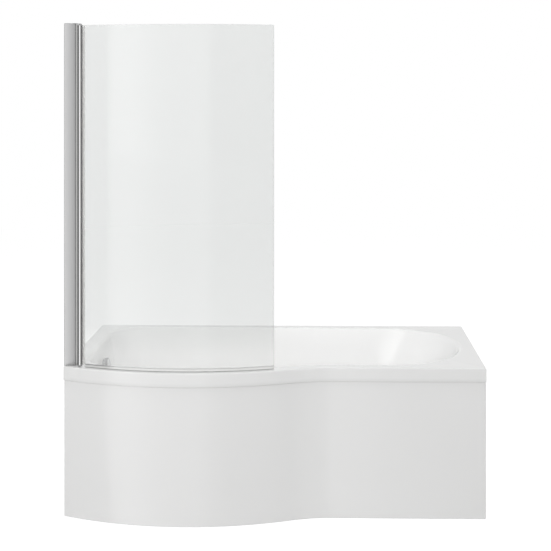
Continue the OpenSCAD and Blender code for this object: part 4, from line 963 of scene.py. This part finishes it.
def screw(bm, place, length):
    """Pan-head screw with a cross recess: its head ends at z = 0 and its point is up."""
    old = set(bm.verts)

    def disc(r, z):
        return [(r * math.cos(a), r * math.sin(a), z) for a in SCREW_ANGLES]

    def recess(share, z):
        radii = [share * RECESS_R[k % 4] for k in range(16)]
        return [(r * math.cos(a), r * math.sin(a), z) for r, a in zip(radii, SCREW_ANGLES)]

    rings = [recess(0.4, -HEAD_H + 0.001), recess(1.0, -HEAD_H + 0.0001)]
    rings += [disc(0.0028, -HEAD_H), disc(0.0037, -HEAD_H + 0.0005), disc(HEAD_R, -HEAD_H + 0.0013)]
    rings += [disc(HEAD_R, 0.0), disc(SCREW_R, 0.0)]
    root = SCREW_R - 0.0005
    for k in range(int(length * 0.8 / SCREW_PITCH)):
        z = 0.001 + k * SCREW_PITCH
        rings += [disc(root, z), disc(SCREW_R, z + 0.5 * SCREW_PITCH), disc(root, z + 0.95 * SCREW_PITCH)]
    rings += [disc(root - 0.0001, length * 0.85), disc(0.0002, length)]
    closed_loft(bm, rings)
    bmesh.ops.transform(bm, matrix=place, verts=newer(bm, old))


def islands(bm):
    """The vertices of each separate solid, as a list of sets."""
    found, groups = set(), []
    for start in bm.verts:
        if start in found:
            continue
        group, waiting = set(), [start]
        while waiting:
            v = waiting.pop()
            if v not in group:
                group.add(v)
                waiting += [e.other_vert(v) for e in v.link_edges]
        found |= group
        groups.append(group)
    return groups


def screws(node):
    """Threaded screws with recessed heads for the node's plain ones.

    The largest face of each is the end of its head."""
    plain = merged_copy(node)
    bm = bmesh.new()
    for group in islands(plain):
        head = max({f for v in group for f in v.link_faces}, key=lambda f: f.calc_area())
        ahead, end = -head.normal, head.calc_center_median()
        length = max((v.co - end).dot(ahead) for v in group) - HEAD_H
        turn = ahead.to_track_quat("Z", "X").to_matrix().to_4x4()
        screw(bm, Matrix.Translation(end + HEAD_H * ahead) @ turn, length)
    plain.free()
    return piece(node + "_threaded", bm, [SCREWS], "bath", [node], "fasteners")


# The nuts with grip ribs

NUT_EDGE, NUT_EDGE_IN, RIB_DEPTH = 0.0014, 0.0022, 0.0011
# Radius, length, the wide bore's radius and depth, the narrow bore's radius and the number of ribs
TRAP_NUT = (0.0289, 0.021, 0.02395, 0.017, 0.02185, 26)
OUTLET_NUT = (0.0275, 0.022, 0.02355, 0.018, 0.0205, 24)
HOSE_NUT = (0.0208, 0.02, 0.0175, 0.0183, 0.014, 20)
TRAP_NUT_Z, OUTLET_Y, OUTLET_Z = 0.1388, 0.161, 0.1315


def grip_nut(bm, size, place):
    """Grip nut with its wide bore from z = 0 and its narrow bore through the closed end."""
    r, length, wide_r, wide_l, narrow_r, ribs = size
    old = set(bm.verts)

    def around(r, z, ribbed=False):
        points = []
        for k, a in enumerate(round_angles(4 * ribs)):
            q = r - RIB_DEPTH if ribbed and k % 4 > 1 else r
            points.append((q * math.cos(a), q * math.sin(a), z))
        return points

    rings = [around(r - NUT_EDGE_IN, 0.0), around(r, NUT_EDGE, True), around(r, length - NUT_EDGE, True)]
    rings += [around(r - NUT_EDGE_IN, length), around(narrow_r, length), around(narrow_r, wide_l)]
    rings += [around(wide_r, wide_l), around(wide_r, 0.0)]
    loft(bm, rings, joined=True)
    bmesh.ops.transform(bm, matrix=place, verts=newer(bm, old))


def nuts():
    """The trap's nut, the outlet's nut and the two on the hose."""
    upside_down, along_y = Matrix.Rotation(math.pi, 4, "X"), Matrix.Rotation(-math.pi / 2, 4, "X")
    along_x = Matrix.Rotation(math.pi / 2, 4, "Y")
    under_waste = Matrix.Translation((*WASTE, TRAP_NUT_Z)) @ upside_down
    on_outlet = Matrix.Translation((WASTE[0], OUTLET_Y, OUTLET_Z)) @ along_y
    on_overflow = Matrix.Translation((HOSE_X, WASTE[1], HOSE_TOP - HOSE_GRIP))
    on_waste = Matrix.Translation((HOSE_END, WASTE[1], HOSE_LOW)) @ along_x
    rows = [
        ("trap_nut", TRAP_NUT, [under_waste]), ("outlet_nut", OUTLET_NUT, [on_outlet]),
        ("hose_nuts", HOSE_NUT, [on_overflow, on_waste]),
    ]
    for node, size, places in rows:
        bm = bmesh.new()
        for place in places:
            grip_nut(bm, size, place)
        piece(node + "_ribbed", bm, [WASTE_WHITE], "bath", [node], "waste_plastic")


# Copies of CAD nodes with the edges eased, as planed timber and rolled or sawn metal have them

# X where one band of the rail's face meets the next: painted shade, a painted highlight, then satin metal
RAIL_BANDS = (-0.7848, -0.7803)

# Width of the eased edges of each copied node, where 0 keeps the CAD's own edges
EASED = {
    "base_board": 0.0006, "back_batten": 0.001, "front_batten": 0.0, "end_battens": 0.001,
    "floor_blocks": 0.0012, "cross_bars": 0.0004, "centre_plate": 0.0004, "wall_brackets": 0.0004,
    "panel_clips": 0.0002, "foot_nuts": 0.0004, "wall_channel": 0.0003, "hinge_post": 0.0003,
    "channel_cap": 0.0004, "pivot_blocks": 0.0004, "rail_caps": 0.0002, "hinge_pins": 0.0003,
    "rail_gasket": 0.0, "waste_gasket": 0.0003, "overflow_gasket": 0.0003, "outlet_seal": 0.0003,
    "plug_seal": 0.0003, "waste_flange": 0.0004, "waste_body": 0.0, "trap_body": 0.0,
    "overflow_body": 0.0, "overflow_plate": 0.0003,
}


def eased(node, width):
    bm = eased_copy(node, width)
    return piece(node + "_eased", bm, [finish_of(node)], BODY_OF[node], [node], SLOT_OF[node])


def rail():
    """The rail: painted shade beside the post, then a band of painted highlight, then satin metal up to the
    glass.
    """
    bm = eased_copy("glass_rail", 0.0003)
    for x in RAIL_BANDS:
        bmesh.ops.bisect_plane(bm, geom=bm.verts[:] + bm.edges[:] + bm.faces[:], dist=MERGE_GAP,
                               plane_co=(x, 0, 0), plane_no=(1, 0, 0))
    for face in bm.faces:
        x = face.calc_center_median().x
        face.material_index = sum(x > edge for edge in RAIL_BANDS)
    finishes = [SHADE_ALUMINIUM, HIGHLIGHT_ALUMINIUM, RAIL_ALUMINIUM]
    return piece("rail", bm, finishes, "screen", ["glass_rail"], "aluminium")


def gap_shade_strip():
    """Dark pile strip on the post's side, which is painted shade in the gap beside the rail."""
    lo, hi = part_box("hinge_post")
    x0, x1 = hi[0] + 0.0001, hi[0] + 0.0015
    y0, y1 = lo[1] + 0.0006, lo[1] + 0.014
    z0, z1 = lo[2] + 0.009, hi[2] - 0.009
    section = [(x0, y0), (x0 + 0.0005, y0 - 0.0003), (x1, y0 + 0.0004), (x1, y1), (x0, y1)]
    bm = bmesh.new()
    closed_loft(bm, [[(x, y, z) for x, y in section] for z in steps(z0, z1, 8) + [z1]])
    return piece("gap_shade_strip", bm, [SHADE_PILE], "bath", None, "seal_vinyl")


for make in (shell, front_panel, glass_sheet, bottom_seal, overflow_knob, plug, hose, cable, nuts):
    make()
for node in ("bar_screws", "plate_screws", "bracket_screws", "clip_screws", "adjust_screws"):
    screws(node)
for foot in ("back_left", "front_left", "back_right", "front_right", "centre"):
    stud(foot)
    foot_pad(foot)
for node, width in EASED.items():
    eased(node, width)
rail()
gap_shade_strip()


# Stage, lights and camera

WHITE = (1.0, 1.0, 1.0, 1.0)
WORLD_LIGHT = 0.30
FLOOR_TONE, FLOOR_SEEN = 0.62, 0.25
FLOOR_SIZE, FLOOR_DROP = 40.0, 0.0005
FADE_START, FADE_END = 2.5, 9.0

# What gloss and metal see of the studio, by compass angle from the front: a long pale panel at the
# front left and dimmer walls at the right. Angles in degrees, levels against the white room.
STUDIO = [
    (-180, 1.0), (-62, 1.0), (-44, 0.88), (-41, 0.9), (-37.5, 1.98), (-28, 1.94), (-20, 1.45), (-12, 1.2),
    (-3, 1.24), (1.5, 1.25), (5, 0.72), (9, 0.72), (22, 0.85), (34, 0.87), (62, 0.66), (105, 0.75),
    (150, 1.0),
]

# Name, place, aim, size and watts of each lamp
LAMPS = [
    ("key_light", (-3.2, -5.0, 3.0), (0.0, -0.2, 0.5), (4.5, 3.5), 69.0),
    ("front_light", (-0.4, -9.0, 4.6), (0.0, 0.0, 0.4), (10.0, 4.0), 390.0),
    ("top_light", (0.0, -1.0, 4.2), (0.0, 0.0, 0.5), (3.0, 2.0), 30.0),
    ("back_light", (0.0, 1.8, 4.0), (0.0, 0.0, 0.5), (4.0, 2.0), 14.0),
]


def seen_rays(tree):
    """1 for camera, glossy and transmission rays, 0 for the rays that light the object."""
    path = add_node(tree, "ShaderNodeLightPath").outputs
    either = math_node(tree, "MAXIMUM", path["Is Camera Ray"], path["Is Glossy Ray"])
    return math_node(tree, "MAXIMUM", either, path["Is Transmission Ray"])


def floor_finish():
    """Grey to the rays that light the object, white to the rays that see it.

    Near the bath a share of what is seen takes light, so that its shadow shows; it fades with distance."""
    f = Finish("pale_floor", grey(FLOOR_TONE), 0.9, **{"Specular IOR Level": 0.0, "Emission Color": WHITE})
    away = f.add("ShaderNodeVectorMath", {0: f.coords}, operation="LENGTH").outputs["Value"]
    seen = seen_rays(f.tree)

    def level(lit, near, far):
        """One level to light the object, and one to be seen, from near the bath to far from it."""
        fade = f.add("ShaderNodeMapRange", {
            "Value": away, "From Min": FADE_START, "From Max": FADE_END, "To Min": near, "To Max": far,
        }, interpolation_type="SMOOTHERSTEP")
        return f.spread(seen, lit, fade.outputs["Result"])

    f.color_from(level(FLOOR_TONE, FLOOR_SEEN, 0.0))
    f.paint(**{"Emission Strength": level(0.0, 1.0 - FLOOR_SEEN * WORLD_LIGHT, 1.0)})
    return f.mat


def stage_floor():
    bm = bmesh.new()
    place = Matrix.Translation((0.0, 0.0, -FLOOR_DROP))
    bmesh.ops.create_grid(bm, x_segments=1, y_segments=1, size=FLOOR_SIZE / 2, matrix=place)
    obj = new_object("floor", bm, [floor_finish()])
    obj.visible_glossy = False


def white_world():
    """White where it is seen, dimmer as a light, and with the studio's levels for gloss."""
    world = bpy.data.worlds.new("white_room")
    bpy.context.scene.world = world
    world.use_nodes = True
    tree = world.node_tree
    level = add_node(tree, "ShaderNodeMapRange", {
        "Value": seen_rays(tree), "To Min": WORLD_LIGHT, "To Max": 1.0,
    }).outputs["Result"]
    view = add_node(tree, "ShaderNodeTexCoord").outputs["Generated"]
    way = add_node(tree, "ShaderNodeSeparateXYZ", {0: view}).outputs
    compass = math_node(tree, "ARCTAN2", way["X"], math_node(tree, "MULTIPLY", way["Y"], -1.0))
    turn = math_node(tree, "MULTIPLY_ADD", compass, 1 / (2 * math.pi), 0.5)
    halves = color_ramp(tree, turn, [((angle + 180) / 360, grey(tone / 2)) for angle, tone in STUDIO])
    over = math_node(tree, "SUBTRACT", math_node(tree, "MULTIPLY", halves, 2.0), 1.0)
    glossy = add_node(tree, "ShaderNodeLightPath").outputs["Is Glossy Ray"]
    strength = math_node(tree, "ADD", level, math_node(tree, "MULTIPLY", over, glossy))
    back = tree.nodes["Background"]
    feed(tree, back.inputs["Color"], WHITE)
    feed(tree, back.inputs["Strength"], strength)


def lamp(name, place, aim, size, watts):
    data = bpy.data.lights.new(name, "AREA")
    data.shape = "RECTANGLE"
    data.size, data.size_y = size
    data.energy = watts
    obj = bpy.data.objects.new(name, data)
    bpy.context.scene.collection.objects.link(obj)
    obj.location = place
    obj.rotation_euler = (Vector(aim) - Vector(place)).to_track_quat("-Z", "Y").to_euler()
    obj.visible_camera = False
    obj.visible_transmission = False
    obj.visible_glossy = False


def photo_camera():
    """The camera that was fitted to the photo: level, with its picture shifted."""
    data = bpy.data.cameras.new("camera")
    data.sensor_width = 36.0
    data.lens = 68.279
    data.shift_x, data.shift_y = -0.04822, -0.33713
    data.clip_end = 100.0
    obj = bpy.data.objects.new("camera", data)
    bpy.context.scene.collection.objects.link(obj)
    obj.location = (0.191674, -4.518854, 1.722353)
    obj.rotation_euler = (math.pi / 2, 0.0, 0.019)
    bpy.context.scene.camera = obj


stage_floor()
white_world()
for row in LAMPS:
    lamp(*row)
photo_camera()
bpy.context.scene.view_settings.view_transform = "Standard"
